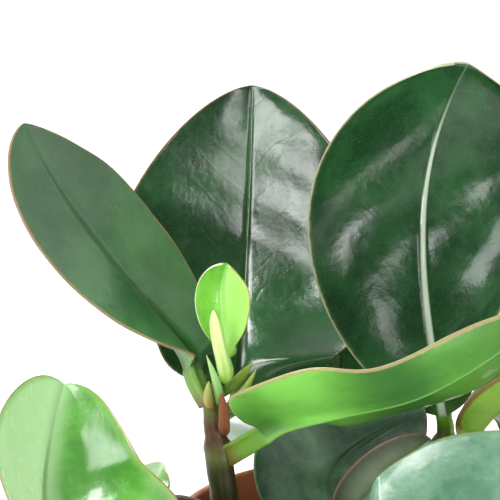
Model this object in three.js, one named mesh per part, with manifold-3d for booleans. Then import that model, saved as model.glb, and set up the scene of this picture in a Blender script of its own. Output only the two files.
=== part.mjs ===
// Potted peperomia: thick petioles, round glossy leaves, fleshy stems, soil and a terracotta-coloured pot.
// Millimetres, +Z up, origin at the centre of the underside of the pot.

import * as THREE from 'three';
import Module from 'manifold-3d';

const GAP = 0.3;
const STEM_GAP = 0.34;

// Pot
const POT_HEIGHT = 90;
const RIM_RADIUS = 52;
const BASE_RADIUS = 37;
const COLLAR_HEIGHT = 18;
const COLLAR_STEP = 1.6;
const WALL = 1.8;
const FLOOR = 2.6;
const POT_SIDES = 40;
const DRAIN_COUNT = 6;
const DRAIN_RADIUS = 4;
const DRAIN_RING = 22;

// Soil
const SOIL_TOP = 79;
const SOIL_MOUND = 2.4;
const SOIL_ROUGH = 0.9;
const SOIL_RINGS = 5;
const SOIL_SIDES = 30;

// Leaf section
const EDGE_THICK = 0.8;
const MIDDLE_THICK = 0.4;
const PETIOLE_HALF = 2.1;
const RIB_DEPTH = 2.6;
const RIB_WIDTH = 1.6;
const BLADE_ROWS = 14;
const PETIOLE_ROWS = 4;
const STEM_SIDES = 10;
const BUD_ROWS = 7;
const BUD_SIDES = 8;

// Stems: points of the centre line with the radius at each
const STEMS = {
  stem_left: [
    [-38.3, 0, 60, 3.3], [-38.5, 0, 78, 3.5], [-39.2, 0, 97, 3.5], [-40.3, 0, 105.5, 3.5],
    [-40.8, 0, 109.5, 3.5], [-41.4, 0, 113, 2.7], [-41.9, 0, 118, 2.4], [-41.8, 0, 121.5, 2.8],
    [-41, -0.4, 124.5, 2], [-39.8, -0.9, 128, 1.5], [-39.2, -1, 131, 1],
  ],
  stem_right: [
    [8, 12, 60, 3.2], [9.5, 12, 79, 3.4], [14, 13, 93, 3.3], [17.2, 14, 102, 3.4],
    [18, 14, 106, 3.6], [18.4, 14, 109.5, 2], [18.6, 14.4, 114, 1.2],
  ],
  stem_over_rim: [
    [-30, -6, 61, 2.6], [-34, -6.4, 80, 2.8], [-42, -7, 93, 2.7], [-53, -8, 96.5, 2.6],
    [-63, -8, 91, 2.7], [-68, -8, 83, 2.8], [-69.5, -8.2, 77, 3], [-70, -8.4, 74, 1.6],
  ],
  stem_front: [
    [-15, -2, 60, 3.2], [-15, -2, 79, 3.5], [-15, -2, 86, 3.5], [-15, -2.2, 89, 2.6],
  ],
  stem_back: [
    [-14, 24, 60, 3.1], [-13, 25, 79, 3.3], [-11.5, 27, 92, 3.2], [-11, 28, 97, 3.4], [-11, 28.5, 101, 1.6],
  ],
  stem_far_right: [
    [26, 18, 61, 3], [30, 20, 79, 3.2], [36, 23, 95, 3.1], [39, 24, 101, 3.4], [40, 24.5, 105, 1.6],
  ],
  stem_near_right: [
    [30, -6, 61, 3], [34, -7, 79, 3.2], [41.5, -9, 91, 3.1], [45, -9.5, 95.5, 3.3], [46, -9.8, 99, 1.8],
  ],
};

// Leaves: root on the stem, neck at the foot of the blade, lift and reach bending the midrib, tip,
// and the way the upper side faces; width across the blade and where along it is widest;
// fold and cup in degrees at the foot and at the tip.
const LEAVES = {
  leaf_left_long: {
    stem: 'stem_left', root: [-42, 0, 121.5], neck: [-46, 3, 129.5], lift: [-47.4, 7.3, 135.1],
    reach: [-78.9, 1.2, 165.2], tip: [-89.4, 8.1, 191.7], face: [0.66, -0.45, 0.6], width: 42.7,
    widest: 0.56, round: 0.73, fold: [15.7, -1.8], cup: [8.8, 6.1], stout: 1.3, twist: -31.4,
  },
  leaf_back_round: {
    stem: 'stem_left', root: [-41.6, 0.6, 119.4], neck: [-35.5, 21, 118.5], lift: [-34.6, 35, 136.9],
    reach: [-32.5, 44, 160.3], tip: [-32, 52, 193.1], face: [0.05, -0.98, 0.2], width: 73.4,
    widest: 0.41, round: 0.62, fold: [7.9, 8.1], cup: [11.8, 13.2], twist: -8.8,
  },
  leaf_right_cupped: {
    stem: 'stem_right', root: [17.9, 13.5, 106], neck: [17.4, 12.7, 114], lift: [12.1, 21, 145],
    reach: [7.5, 36, 171.6], tip: [22.6, 22, 204.2], face: [-0.12, -0.97, 0.2], width: 66, widest: 0.62,
    round: 0.36, fold: [5.1, 8.2], cup: [33.5, 36.6], twist: 43,
  },
  leaf_low_edge_on: {
    stem: 'stem_left', root: [-38.8, 0.6, 108], neck: [-28.6, -6.8, 116.8], lift: [-13.9, -13.9, 128.6],
    reach: [9.3, -15.5, 114.1], tip: [47.5, -22.3, 159.8], face: [0, 0.55, 0.83], width: 46.8,
    widest: 0.33, round: 0.75, fold: [-10.6, 5.8], cup: [19.4, 17.7], twist: -9.3, stout: 1.4,
    wave: 1.1, waves: 2.29, phase: 0.07, lobe: 8,
  },
  leaf_over_rim: {
    stem: 'stem_over_rim', root: [-69, -8, 78], neck: [-75.6, -15.4, 73.8], lift: [-80.8, -35, 98.1],
    reach: [-90.5, -11, 94.7], tip: [-78.4, 5.3, 126.5], face: [0.49, -0.78, 0.32], width: 66.6,
    widest: 0.27, round: 0.42, fold: [30, 34], cup: [22, 24], curl: 3.3, twist: -28,
  },
  leaf_front_wide: {
    stem: 'stem_front', root: [-15, -2, 84.6], neck: [-7, -18, 91], lift: [9, -26, 96.5],
    reach: [36, -40, 102], tip: [62, -54, 95], face: [-0.1, -0.38, 0.9],
    width: 58, widest: 0.56, round: 0.5, fold: [14, 14], cup: [20, 20],
  },
  leaf_front_inner: {
    stem: 'stem_front', root: [-15, -1.8, 86.8], neck: [-8.8, -5.4, 90], lift: [-5.6, -6, 95.4],
    reach: [2, -6.2, 105.2], tip: [13, -6.4, 113.6], face: [-0.2, -0.95, 0.2],
    width: 16, widest: 0.5, round: 0.5, fold: [4, 4], cup: [10, 10], stout: 0.7,
  },
  leaf_middle_upright: {
    stem: 'stem_front', root: [-15.2, -1.6, 85.4], neck: [-8.6, 10.4, 88.7], lift: [-17.2, 12.1, 97.7],
    reach: [-6.8, 8.8, 107.8], tip: [12.5, 7, 117], face: [-0.2, -0.93, 0.3],
    width: 44, widest: 0.42, round: 0.6, fold: [2, 2], cup: [6, 6],
  },
  leaf_right_low: {
    stem: 'stem_right', root: [18, 14, 105], neck: [21.8, 3, 110], lift: [25.6, 0.4, 117.2],
    reach: [38, 0, 128.5], tip: [57, -4, 138], face: [0, 0.05, 1],
    width: 16.5, widest: 0.5, round: 0.7, fold: [48, 36], cup: [14, 16],
  },
  leaf_back_hidden: {
    stem: 'stem_back', root: [-11, 28, 97], neck: [-9.5, 33, 104.8], lift: [-8, 44.5, 119],
    reach: [-7, 54, 147], tip: [-8, 53, 171.5], face: [0.05, -0.97, 0.2],
    width: 50, widest: 0.5, round: 0.5, fold: [6, 6], cup: [14, 14], plain: true,
  },
  leaf_back_low: {
    stem: 'stem_back', root: [-11, 28, 95], neck: [-8.5, 43.6, 99.5], lift: [-7, 54, 106],
    reach: [-5, 71, 118], tip: [0, 87, 123], face: [0, -0.5, 0.85],
    width: 45, widest: 0.5, round: 0.55, fold: [8, 6], cup: [16, 16], plain: true,
  },
  leaf_back_left: {
    stem: 'stem_back', root: [-12, 27, 92], neck: [-19.4, 36, 91.6], lift: [-24.4, 45, 93.4],
    reach: [-30, 61, 96.5], tip: [-33, 77, 91], face: [0.1, -0.25, 0.95],
    width: 37, widest: 0.5, round: 0.55, fold: [8, 6], cup: [12, 12], plain: true,
  },
  leaf_left_low: {
    stem: 'stem_over_rim', root: [-54.5, -7.4, 95.8], neck: [-55.8, 5, 94.6], lift: [-66, 18, 89],
    reach: [-78, 33, 83], tip: [-85, 47, 71], face: [-0.2, -0.1, 1],
    width: 34, widest: 0.5, round: 0.6, fold: [8, 6], cup: [12, 12], plain: true,
  },
  leaf_front_left: {
    stem: 'stem_front', root: [-16.4, -1.2, 83.6], neck: [-26.5, -13.4, 89.6], lift: [-25, -28, 94],
    reach: [-28, -52, 98], tip: [-30, -74, 86], face: [-0.1, -0.3, 0.95],
    width: 34, widest: 0.5, round: 0.55, fold: [8, 6], cup: [14, 14], plain: true,
  },
  leaf_far_right_up: {
    stem: 'stem_far_right', root: [39.5, 24.2, 102], neck: [42, 26.5, 110], lift: [49, 35, 126],
    reach: [56, 36, 156], tip: [54, 26, 184], face: [-0.1, -0.95, 0.2],
    width: 56, widest: 0.52, round: 0.52, fold: [8, 8], cup: [26, 20], plain: true,
  },
  leaf_far_right_side: {
    stem: 'stem_far_right', root: [39, 24, 100.5], neck: [50.5, 25.8, 105.3], lift: [59.5, 29.8, 113],
    reach: [78, 37, 129], tip: [94, 42, 139], face: [-0.5, -0.3, 0.8],
    width: 46, widest: 0.5, round: 0.55, fold: [8, 6], cup: [16, 14], plain: true,
  },
  leaf_far_right_back: {
    stem: 'stem_far_right', root: [38, 23.6, 98], neck: [40.5, 36, 97.8], lift: [45, 46.5, 101.5],
    reach: [54, 66, 106], tip: [60, 83, 101], face: [-0.2, -0.35, 0.9],
    width: 39, widest: 0.55, round: 0.55, fold: [8, 6], cup: [14, 14], plain: true,
  },
  leaf_right_drooping: {
    stem: 'stem_far_right', root: [36.2, 22.8, 94], neck: [45, 14, 94], lift: [57, 12, 98],
    reach: [78, 13, 99], tip: [93, 12, 86], face: [-0.1, 0, 1],
    width: 36, widest: 0.5, round: 0.55, fold: [8, 6], cup: [12, 12], plain: true,
  },
  leaf_near_right: {
    stem: 'stem_near_right', root: [45, -9.5, 95.5], neck: [51.6, -10.6, 101.4], lift: [61.6, -13.4, 110.4],
    reach: [82, -22, 121], tip: [98, -30, 119], face: [-0.3, -0.3, 0.9],
    width: 46, widest: 0.5, round: 0.55, fold: [8, 6], cup: [16, 14], plain: true,
  },
  young_leaf_cupped: {
    stem: 'stem_left', root: [-39.7, -0.6, 128.3], neck: [-38.8, -0.8, 133.4], lift: [-38, 3, 138],
    reach: [-41.6, 5, 149], tip: [-38.4, 3.4, 156.4], face: [0.05, -0.97, 0.2],
    width: 19.4, widest: 0.66, round: 0.3, fold: [20, 20], cup: [45, 45], stout: 0.35, small: true,
  },
};

// Buds and rolled young leaves: four points of the centre line, radius, flatness, how far the
// width falls off toward the end and how blunt the end is
const BUDS = {
  rolled_leaf_pale: {
    stem: 'stem_left', line: [[-39.4, -1.8, 127.8], [-36.8, -6.8, 130.4], [-41.2, -9, 138], [-41.6, -8.6, 147.8]],
    radius: 2.3, flat: 0.75, taper: 0.35, blunt: 10,
  },
  spike_green: {
    stem: 'stem_left', line: [[-41.2, -1.2, 120.8], [-38.9, -3.8, 123.2], [-41.2, -5.4, 129], [-43.4, -6, 135.4]],
    radius: 1.3, flat: 0.8, taper: 0.3, blunt: 3,
  },
  sheath_brown: {
    stem: 'stem_left', line: [[-39.8, -1.8, 113.4], [-38.8, -4.8, 114.6], [-38.7, -6, 119], [-39.7, -6.4, 125.8]],
    radius: 1.7, flat: 0.45, taper: 0.25, blunt: 6,
  },
  bud_orange: {
    stem: 'stem_left', line: [[-41.7, -1.5, 120.7], [-43.2, -5.2, 121.8], [-43.3, -5.3, 125], [-42.8, -4.6, 128.2]],
    radius: 1.2, flat: 1, taper: 0, blunt: 3,
  },
  bud_pair: {
    stem: 'stem_left', line: [[-40.6, 0.6, 122.4], [-37.3, 2, 124.2], [-34.6, 1.9, 127.8], [-31.9, 1.9, 131]],
    radius: 1.3, flat: 0.8, taper: 0, blunt: 3,
  },
  bud_pair_low: {
    stem: 'stem_left', line: [[-40.4, -0.8, 119.4], [-36.4, -1.8, 121], [-33.6, -1.3, 124.8], [-31, -0.8, 130]],
    radius: 1, flat: 0.8, taper: 0, blunt: 3,
  },
};

const clamp = (value, low, high) => Math.min(high, Math.max(low, value));
const rad = THREE.MathUtils.degToRad;
const vec = (p) => new THREE.Vector3(p[0], p[1], p[2]);

const wasm = await Module();
wasm.setup();

function solid(vertices, triangles) {
  const mesh = new wasm.Mesh({
    numProp: 3,
    vertProperties: new Float32Array(vertices),
    triVerts: new Uint32Array(triangles),
  });
  mesh.merge();
  return new wasm.Manifold(mesh);
}

function geometryOf(body) {
  const mesh = body.getMesh();
  const geometry = new THREE.BufferGeometry();
  geometry.setAttribute('position', new THREE.BufferAttribute(Float32Array.from(mesh.vertProperties), 3));
  geometry.setIndex(Array.from(mesh.triVerts));
  return geometry;
}

// Carry one direction along a line of tangents, starting at the row given.
function carry(tangents, face, start) {
  const square = (v, t) => v.clone().addScaledVector(t, -v.dot(t)).normalize();
  const normals = new Array(tangents.length);
  normals[start] = square(face, tangents[start]);
  for (let i = start + 1; i < tangents.length; i += 1) {
    normals[i] = square(normals[i - 1], tangents[i]);
  }
  for (let i = start - 1; i >= 0; i -= 1) {
    normals[i] = square(normals[i + 1], tangents[i]);
  }
  return normals;
}

function tube(points, sides, grow = 0) {
  const curve = new THREE.CatmullRomCurve3(points.map(vec), false, 'centripetal');
  const stations = [];
  const count = points.length - 1;
  points.forEach((p, i) => {
    stations.push({ at: i / count, radius: p[3] });
  });
  const rows = stations.map(({ at, radius }) => ({
    centre: curve.getPoint(at),
    tangent: curve.getTangent(at),
    radius: radius + grow,
  }));
  rows[0].centre.addScaledVector(rows[0].tangent, -grow);
  rows[count].centre.addScaledVector(rows[count].tangent, grow);
  const normals = carry(rows.map((r) => r.tangent), new THREE.Vector3(0, 1, 0), 0);
  return drum(rows.map(({ centre, tangent, radius }, i) => {
    const across = tangent.clone().cross(normals[i]);
    const ring = [];
    for (let k = 0; k < sides; k += 1) {
      const turn = (2 * Math.PI * k) / sides;
      ring.push(centre.clone()
        .addScaledVector(normals[i], radius * Math.cos(turn))
        .addScaledVector(across, -radius * Math.sin(turn)));
    }
    return ring;
  }));
}

function leaf(spec) {
  const cols = spec.small || spec.plain ? 4 : 6;
  const [root, neck, lift, reach, tip] = [spec.root, spec.neck, spec.lift, spec.reach, spec.tip].map(vec);
  const hold = neck.distanceTo(root);
  const nearKnee = neck.clone().addScaledVector(lift.clone().sub(neck).normalize(), -0.35 * hold);
  const farKnee = root.clone().addScaledVector(nearKnee.clone().sub(root).normalize(), 0.35 * hold);
  const petiole = new THREE.CubicBezierCurve3(root, farKnee, nearKnee, neck);
  const blade = new THREE.CubicBezierCurve3(neck, lift, reach, tip);
  const rows = [];
  for (let i = 0; i < PETIOLE_ROWS; i += 1) {
    const u = i / PETIOLE_ROWS;
    rows.push({ along: u - 1, centre: petiole.getPoint(u), tangent: petiole.getTangent(u) });
  }
  for (let i = 0; i <= BLADE_ROWS; i += 1) {
    const u = i / BLADE_ROWS;
    const t = Math.min(0.45 * u + 0.55 * u * u * (3 - 2 * u), 0.9992);
    rows.push({ along: t, centre: blade.getPoint(t), tangent: blade.getTangent(t) });
  }
  const middle = PETIOLE_ROWS + BLADE_ROWS / 2;
  let normals = carry(rows.map((r) => r.tangent), vec(spec.face), middle);
  if (spec.curl) {
    rows.forEach((row, i) => {
      const far = clamp((row.along - 0.7) / 0.3, 0, 1);
      row.centre.addScaledVector(normals[i], -spec.curl * far ** 2);
      row.centre.addScaledVector(row.tangent, -0.55 * spec.curl * far ** 3);
    });
    rows.forEach((row, i) => {
      const before = rows[Math.max(0, i - 1)].centre;
      const after = rows[Math.min(rows.length - 1, i + 1)].centre;
      row.tangent = after.clone().sub(before).normalize();
    });
    normals = carry(rows.map((r) => r.tangent), vec(spec.face), middle);
  }
  const q = spec.round;
  const p = (q * spec.widest) / (1 - spec.widest);
  const peak = spec.widest ** p * (1 - spec.widest) ** q;
  const stalk = PETIOLE_HALF * (spec.stout ?? 1);
  const top = [];
  const bottom = [];
  rows.forEach(({ along, centre, tangent }, i) => {
    const t = clamp(along, 1e-9, 1);
    const bladeHalf = (spec.width / 2) * (t ** p * (1 - t) ** q) / peak;
    const half = along <= 0 ? stalk : Math.hypot(bladeHalf, stalk * (1 - t) ** 6);
    const grown = clamp(along / 0.12, 0, 1);
    const ease = grown * grown * (3 - 2 * grown);
    const gather = along > 0 ? 25 * (1 - t) ** 5 : 0;
    const fold = rad(spec.fold[0] + (spec.fold[1] - spec.fold[0]) * t + gather) * ease;
    const cup = rad(spec.cup[0] + (spec.cup[1] - spec.cup[0]) * t) * ease + 1e-6;
    const turn = rad(spec.twist ?? 0) * (clamp(along, 0, 1) - rows[middle].along);
    const flat = tangent.clone().cross(normals[i]);
    const normal = normals[i].clone().multiplyScalar(Math.cos(turn)).addScaledVector(flat, Math.sin(turn));
    const side = flat.clone().multiplyScalar(Math.cos(turn)).addScaledVector(normals[i], -Math.sin(turn));
    const rib = along <= 0 ? 1 : 0.9 * (1 - t) ** 2.2 + 0.1 * (1 - t);
    const depth = RIB_DEPTH * (spec.stout ?? 1) * rib;
    const over = [];
    const under = [];
    for (let j = 0; j <= cols; j += 1) {
      const s = -Math.cos((Math.PI * j) / cols);
      const a = Math.abs(s);
      const x = (Math.sign(s) * half * (Math.sin(fold + cup * a) - Math.sin(fold))) / cup;
      const wave = (spec.wave ?? 0) * ease * a * a
        * Math.sin(2 * Math.PI * ((spec.waves ?? 1.5) * along + (spec.phase ?? 0) + (s > 0 ? 0.35 : 0)));
      const z = (half * (Math.cos(fold) - Math.cos(fold + cup * a))) / cup + wave;
      const thick = MIDDLE_THICK * (1 - a * a);
      const keel = depth * Math.exp(-((x / RIB_WIDTH) ** 2));
      const above = z + EDGE_THICK / 2 + thick / 2;
      const below = z - EDGE_THICK / 2 - thick - keel;
      const back = (spec.lobe ?? 0) * ease * a * a * (1 - t) ** 4;
      const foot = centre.clone().addScaledVector(side, x).addScaledVector(tangent, -back);
      over.push(foot.clone().addScaledVector(normal, above));
      under.push(foot.clone().addScaledVector(normal, below));
    }
    top.push(over);
    bottom.push(under);
  });
  return shell(top, bottom);
}

// A spindle along a bent line, blunt at the root and drawn to a point.
function bud(spec) {
  const line = new THREE.CubicBezierCurve3(...spec.line.map(vec));
  const rows = [];
  for (let i = 0; i <= BUD_ROWS; i += 1) {
    const u = i / BUD_ROWS;
    rows.push({ u, centre: line.getPoint(u), tangent: line.getTangent(u) });
  }
  const normals = carry(rows.map((r) => r.tangent), new THREE.Vector3(0, -1, 0), 0);
  const rings = rows.map(({ u, centre, tangent }, i) => {
    const across = tangent.clone().cross(normals[i]);
    const far = clamp((u - 0.35) / 0.65, 0, 1);
    const foot = 0.6 + 0.4 * clamp(u / 0.35, 0, 1);
    const swell = foot * (1 - spec.taper * far) * (1 - 0.86 * far ** spec.blunt);
    const ring = [];
    for (let k = 0; k < BUD_SIDES; k += 1) {
      const turn = (2 * Math.PI * k) / BUD_SIDES;
      ring.push(centre.clone()
        .addScaledVector(normals[i], spec.radius * spec.flat * swell * Math.cos(turn))
        .addScaledVector(across, -spec.radius * swell * Math.sin(turn)));
    }
    return ring;
  });
  return drum(rings);
}

// Close a row of rings into one body.
function drum(rings) {
  const sides = rings[0].length;
  const last = (rings.length - 1) * sides;
  const vertices = rings.flatMap((ring) => ring.flatMap((p) => [p.x, p.y, p.z]));
  const triangles = [];
  for (let i = 0; i < rings.length - 1; i += 1) {
    for (let k = 0; k < sides; k += 1) {
      const a = i * sides + k;
      const b = i * sides + ((k + 1) % sides);
      triangles.push(a, b + sides, b, a, a + sides, b + sides);
    }
  }
  for (let k = 1; k < sides - 1; k += 1) {
    triangles.push(0, k, k + 1);
    triangles.push(last, last + k + 1, last + k);
  }
  return solid(vertices, triangles);
}

// Close two sheets of points into one body, both split along the same diagonals.
function shell(top, bottom) {
  const rows = top.length;
  const cols = top[0].length;
  const vertices = [];
  [...top, ...bottom].forEach((line) => line.forEach((v) => vertices.push(v.x, v.y, v.z)));
  const up = (i, j) => i * cols + j;
  const down = (i, j) => (rows + i) * cols + j;
  const triangles = [];
  const quad = (a, b, c, d) => triangles.push(a, b, c, a, c, d);
  for (let i = 0; i < rows - 1; i += 1) {
    for (let j = 0; j < cols - 1; j += 1) {
      quad(up(i, j), up(i, j + 1), up(i + 1, j + 1), up(i + 1, j));
      triangles.push(down(i, j), down(i + 1, j + 1), down(i, j + 1));
      triangles.push(down(i, j), down(i + 1, j), down(i + 1, j + 1));
    }
    quad(up(i, cols - 1), down(i, cols - 1), down(i + 1, cols - 1), up(i + 1, cols - 1));
    quad(up(i + 1, 0), down(i + 1, 0), down(i, 0), up(i, 0));
  }
  for (let j = 0; j < cols - 1; j += 1) {
    quad(up(0, j), down(0, j), down(0, j + 1), up(0, j + 1));
    quad(up(rows - 1, j), up(rows - 1, j + 1), down(rows - 1, j + 1), down(rows - 1, j));
  }
  return solid(vertices, triangles);
}

// Wall of the pot turned about Z: radius of the outside and of the inside at a height.
function outerRadius(z) {
  const collarFoot = POT_HEIGHT - COLLAR_HEIGHT;
  const slope = (RIM_RADIUS - COLLAR_STEP - BASE_RADIUS) / POT_HEIGHT;
  return BASE_RADIUS + slope * z + (z > collarFoot ? COLLAR_STEP : 0);
}

function innerRadius(z) {
  const slope = (RIM_RADIUS - COLLAR_STEP - BASE_RADIUS) / POT_HEIGHT;
  return BASE_RADIUS + slope * z - WALL + (z > POT_HEIGHT - COLLAR_HEIGHT + 2 ? COLLAR_STEP : 0);
}

function turned(profile, sides) {
  const section = new wasm.CrossSection([profile]);
  return section.revolve(sides);
}

function pot() {
  const collarFoot = POT_HEIGHT - COLLAR_HEIGHT;
  const body = turned([
    [0, 0],
    [BASE_RADIUS - 1, 0],
    [BASE_RADIUS, 1],
    [outerRadius(collarFoot), collarFoot],
    [outerRadius(collarFoot) + COLLAR_STEP, collarFoot + 1],
    [RIM_RADIUS, POT_HEIGHT - 1],
    [RIM_RADIUS - 0.6, POT_HEIGHT],
    [RIM_RADIUS - 1.5, POT_HEIGHT],
    [RIM_RADIUS - 2.1, POT_HEIGHT - 1],
    [innerRadius(collarFoot + 3), collarFoot + 3],
    [innerRadius(collarFoot), collarFoot],
    [innerRadius(FLOOR), FLOOR],
    [0, FLOOR],
  ], POT_SIDES);
  const drains = [];
  for (let i = 0; i < DRAIN_COUNT; i += 1) {
    const turn = (2 * Math.PI * i) / DRAIN_COUNT;
    drains.push(wasm.Manifold.cylinder(FLOOR + 2, DRAIN_RADIUS, DRAIN_RADIUS, 12)
      .translate([DRAIN_RING * Math.cos(turn), DRAIN_RING * Math.sin(turn), -1]));
  }
  return body.subtract(wasm.Manifold.union(drains));
}

function soilHeight(x, y) {
  const r = Math.hypot(x, y) / innerRadius(SOIL_TOP);
  const bumps = Math.sin(0.31 * x + 1.1) * Math.cos(0.27 * y - 0.4) + 0.6 * Math.sin(0.53 * x - 0.47 * y);
  return SOIL_TOP + SOIL_MOUND * (1 - r * r) + SOIL_ROUGH * bumps * (1 - r ** 4);
}

function soil(holes) {
  const vertices = [];
  const triangles = [];
  const collarFoot = POT_HEIGHT - COLLAR_HEIGHT;
  const reach = Math.cos(Math.PI / SOIL_SIDES);
  const levels = [
    [innerRadius(FLOOR) - GAP, FLOOR + GAP],
    [innerRadius(collarFoot) - GAP, collarFoot],
    [innerRadius(collarFoot + 3) - GAP, collarFoot + 3.2],
    [innerRadius(SOIL_TOP) - GAP, SOIL_TOP],
  ];
  levels.forEach(([radius, z]) => {
    for (let k = 0; k < SOIL_SIDES; k += 1) {
      const turn = (2 * Math.PI * k) / SOIL_SIDES;
      vertices.push(radius * reach * Math.cos(turn), radius * reach * Math.sin(turn), z);
    }
  });
  for (let ring = SOIL_RINGS - 1; ring >= 1; ring -= 1) {
    const radius = ((innerRadius(SOIL_TOP) - GAP) * reach * ring) / SOIL_RINGS;
    for (let k = 0; k < SOIL_SIDES; k += 1) {
      const turn = (2 * Math.PI * k) / SOIL_SIDES;
      const [x, y] = [radius * Math.cos(turn), radius * Math.sin(turn)];
      vertices.push(x, y, soilHeight(x, y));
    }
  }
  const rings = levels.length + SOIL_RINGS - 1;
  const crown = vertices.length / 3;
  vertices.push(0, 0, soilHeight(0, 0));
  vertices.push(0, 0, FLOOR + GAP);
  for (let k = 0; k < SOIL_SIDES; k += 1) {
    const next = (k + 1) % SOIL_SIDES;
    for (let i = 0; i < rings - 1; i += 1) {
      const low = i * SOIL_SIDES;
      const high = (i + 1) * SOIL_SIDES;
      triangles.push(low + k, low + next, high + next, low + k, high + next, high + k);
    }
    triangles.push((rings - 1) * SOIL_SIDES + k, (rings - 1) * SOIL_SIDES + next, crown);
    triangles.push(next, k, crown + 1);
  }
  return solid(vertices, triangles).subtract(wasm.Manifold.union(holes));
}

const FINISHES = {
  terracotta_plastic: { color: 0xa8623f, roughness: 0.75, metalness: 0 },
  dark_soil: { color: 0x3a2a1e, roughness: 0.95, metalness: 0 },
  green_stem: { color: 0x55691f, roughness: 0.5, metalness: 0 },
  glossy_leaf: { color: 0x3f6b41, roughness: 0.3, metalness: 0 },
  young_leaf: { color: 0x7fc043, roughness: 0.3, metalness: 0 },
};

const assembly = new THREE.Group();
assembly.name = 'potted_peperomia';

function add(name, body, finish) {
  const material = new THREE.MeshStandardMaterial(FINISHES[finish]);
  material.name = finish;
  const mesh = new THREE.Mesh(geometryOf(body), material);
  mesh.name = name;
  assembly.add(mesh);
}

const clearings = {};
for (const [name, points] of Object.entries(STEMS)) {
  clearings[name] = tube(points, STEM_SIDES, STEM_GAP);
}

add('pot', pot(), 'terracotta_plastic');
add('soil', soil(Object.values(clearings)), 'dark_soil');
for (const [name, points] of Object.entries(STEMS)) {
  add(name, tube(points, STEM_SIDES), 'green_stem');
}
for (const [name, spec] of Object.entries(LEAVES)) {
  add(name, leaf(spec).subtract(clearings[spec.stem]), spec.small ? 'young_leaf' : 'glossy_leaf');
}
for (const [name, spec] of Object.entries(BUDS)) {
  add(name, bud(spec).subtract(clearings[spec.stem]), 'young_leaf');
}

export default assembly;
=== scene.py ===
"""Potted peperomia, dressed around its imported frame.

Waxy leaves, fleshy stems, crumbly soil and a pot of moulded plastic in terracotta colour.
"""

import math
from types import SimpleNamespace

import bpy
import numpy as np
from bpy.props import FloatProperty, FloatVectorProperty, IntProperty, PointerProperty
from bpy.types import Operator, Panel, PropertyGroup
from mathutils import Matrix, Vector


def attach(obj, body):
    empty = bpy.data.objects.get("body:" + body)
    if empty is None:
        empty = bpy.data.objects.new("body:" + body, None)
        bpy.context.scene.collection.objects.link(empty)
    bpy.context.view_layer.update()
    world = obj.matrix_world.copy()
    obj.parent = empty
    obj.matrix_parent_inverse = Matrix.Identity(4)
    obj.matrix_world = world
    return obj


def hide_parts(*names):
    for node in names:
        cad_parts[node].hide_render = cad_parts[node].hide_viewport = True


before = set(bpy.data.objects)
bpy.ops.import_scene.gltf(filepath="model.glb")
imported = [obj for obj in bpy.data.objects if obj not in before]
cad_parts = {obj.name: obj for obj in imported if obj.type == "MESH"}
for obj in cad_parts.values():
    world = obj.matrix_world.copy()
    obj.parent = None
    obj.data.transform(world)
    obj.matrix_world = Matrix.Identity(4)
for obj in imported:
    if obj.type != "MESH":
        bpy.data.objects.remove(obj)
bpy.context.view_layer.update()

bl_info = {
    "name": "Potted peperomia",
    "version": (1, 0, 0),
    "blender": (4, 5, 0),
    "location": "3D view > Sidebar > Peperomia",
    "description": "Makes a baby rubber plant in its pot around the packed frame",
    "category": "Object",
}

MM = 0.001
BODY = "root"

# Stems: points of the centre line in millimetres, with the radius at each
STEMS = {
    "stem_left": [
        (-38.3, 0, 60, 3.3), (-38.5, 0, 78, 3.5), (-39.2, 0, 97, 3.5), (-40.3, 0, 105.5, 3.5),
        (-40.8, 0, 109.5, 3.5), (-41.4, 0, 113, 2.7), (-41.9, 0, 118, 2.4), (-41.8, 0, 121.5, 2.8),
        (-41, -0.4, 124.5, 2), (-39.8, -0.9, 128, 1.5), (-39.2, -1, 131, 1),
    ],
    "stem_right": [
        (8, 12, 60, 3.2), (9.5, 12, 79, 3.4), (14, 13, 93, 3.3), (17.2, 14, 102, 3.4),
        (18, 14, 106, 3.6), (18.4, 14, 109.5, 2), (18.6, 14.4, 114, 1.2),
    ],
    "stem_over_rim": [
        (-30, -6, 61, 2.6), (-34, -6.4, 80, 2.8), (-42, -7, 93, 2.7), (-53, -8, 96.5, 2.6),
        (-63, -8, 91, 2.7), (-68, -8, 83, 2.8), (-69.5, -8.2, 77, 3), (-70, -8.4, 74, 1.6),
    ],
    "stem_front": [
        (-15, -2, 60, 3.2), (-15, -2, 79, 3.5), (-15, -2, 86, 3.5), (-15, -2.2, 89, 2.6),
    ],
    "stem_back": [
        (-14, 24, 60, 3.1), (-13, 25, 79, 3.3), (-11.5, 27, 92, 3.2), (-11, 28, 97, 3.4),
        (-11, 28.5, 101, 1.6),
    ],
    "stem_far_right": [
        (26, 18, 61, 3), (30, 20, 79, 3.2), (36, 23, 95, 3.1), (39, 24, 101, 3.4), (40, 24.5, 105, 1.6),
    ],
    "stem_near_right": [
        (30, -6, 61, 3), (34, -7, 79, 3.2), (41.5, -9, 91, 3.1), (45, -9.5, 95.5, 3.3),
        (46, -9.8, 99, 1.8),
    ],
}

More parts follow.
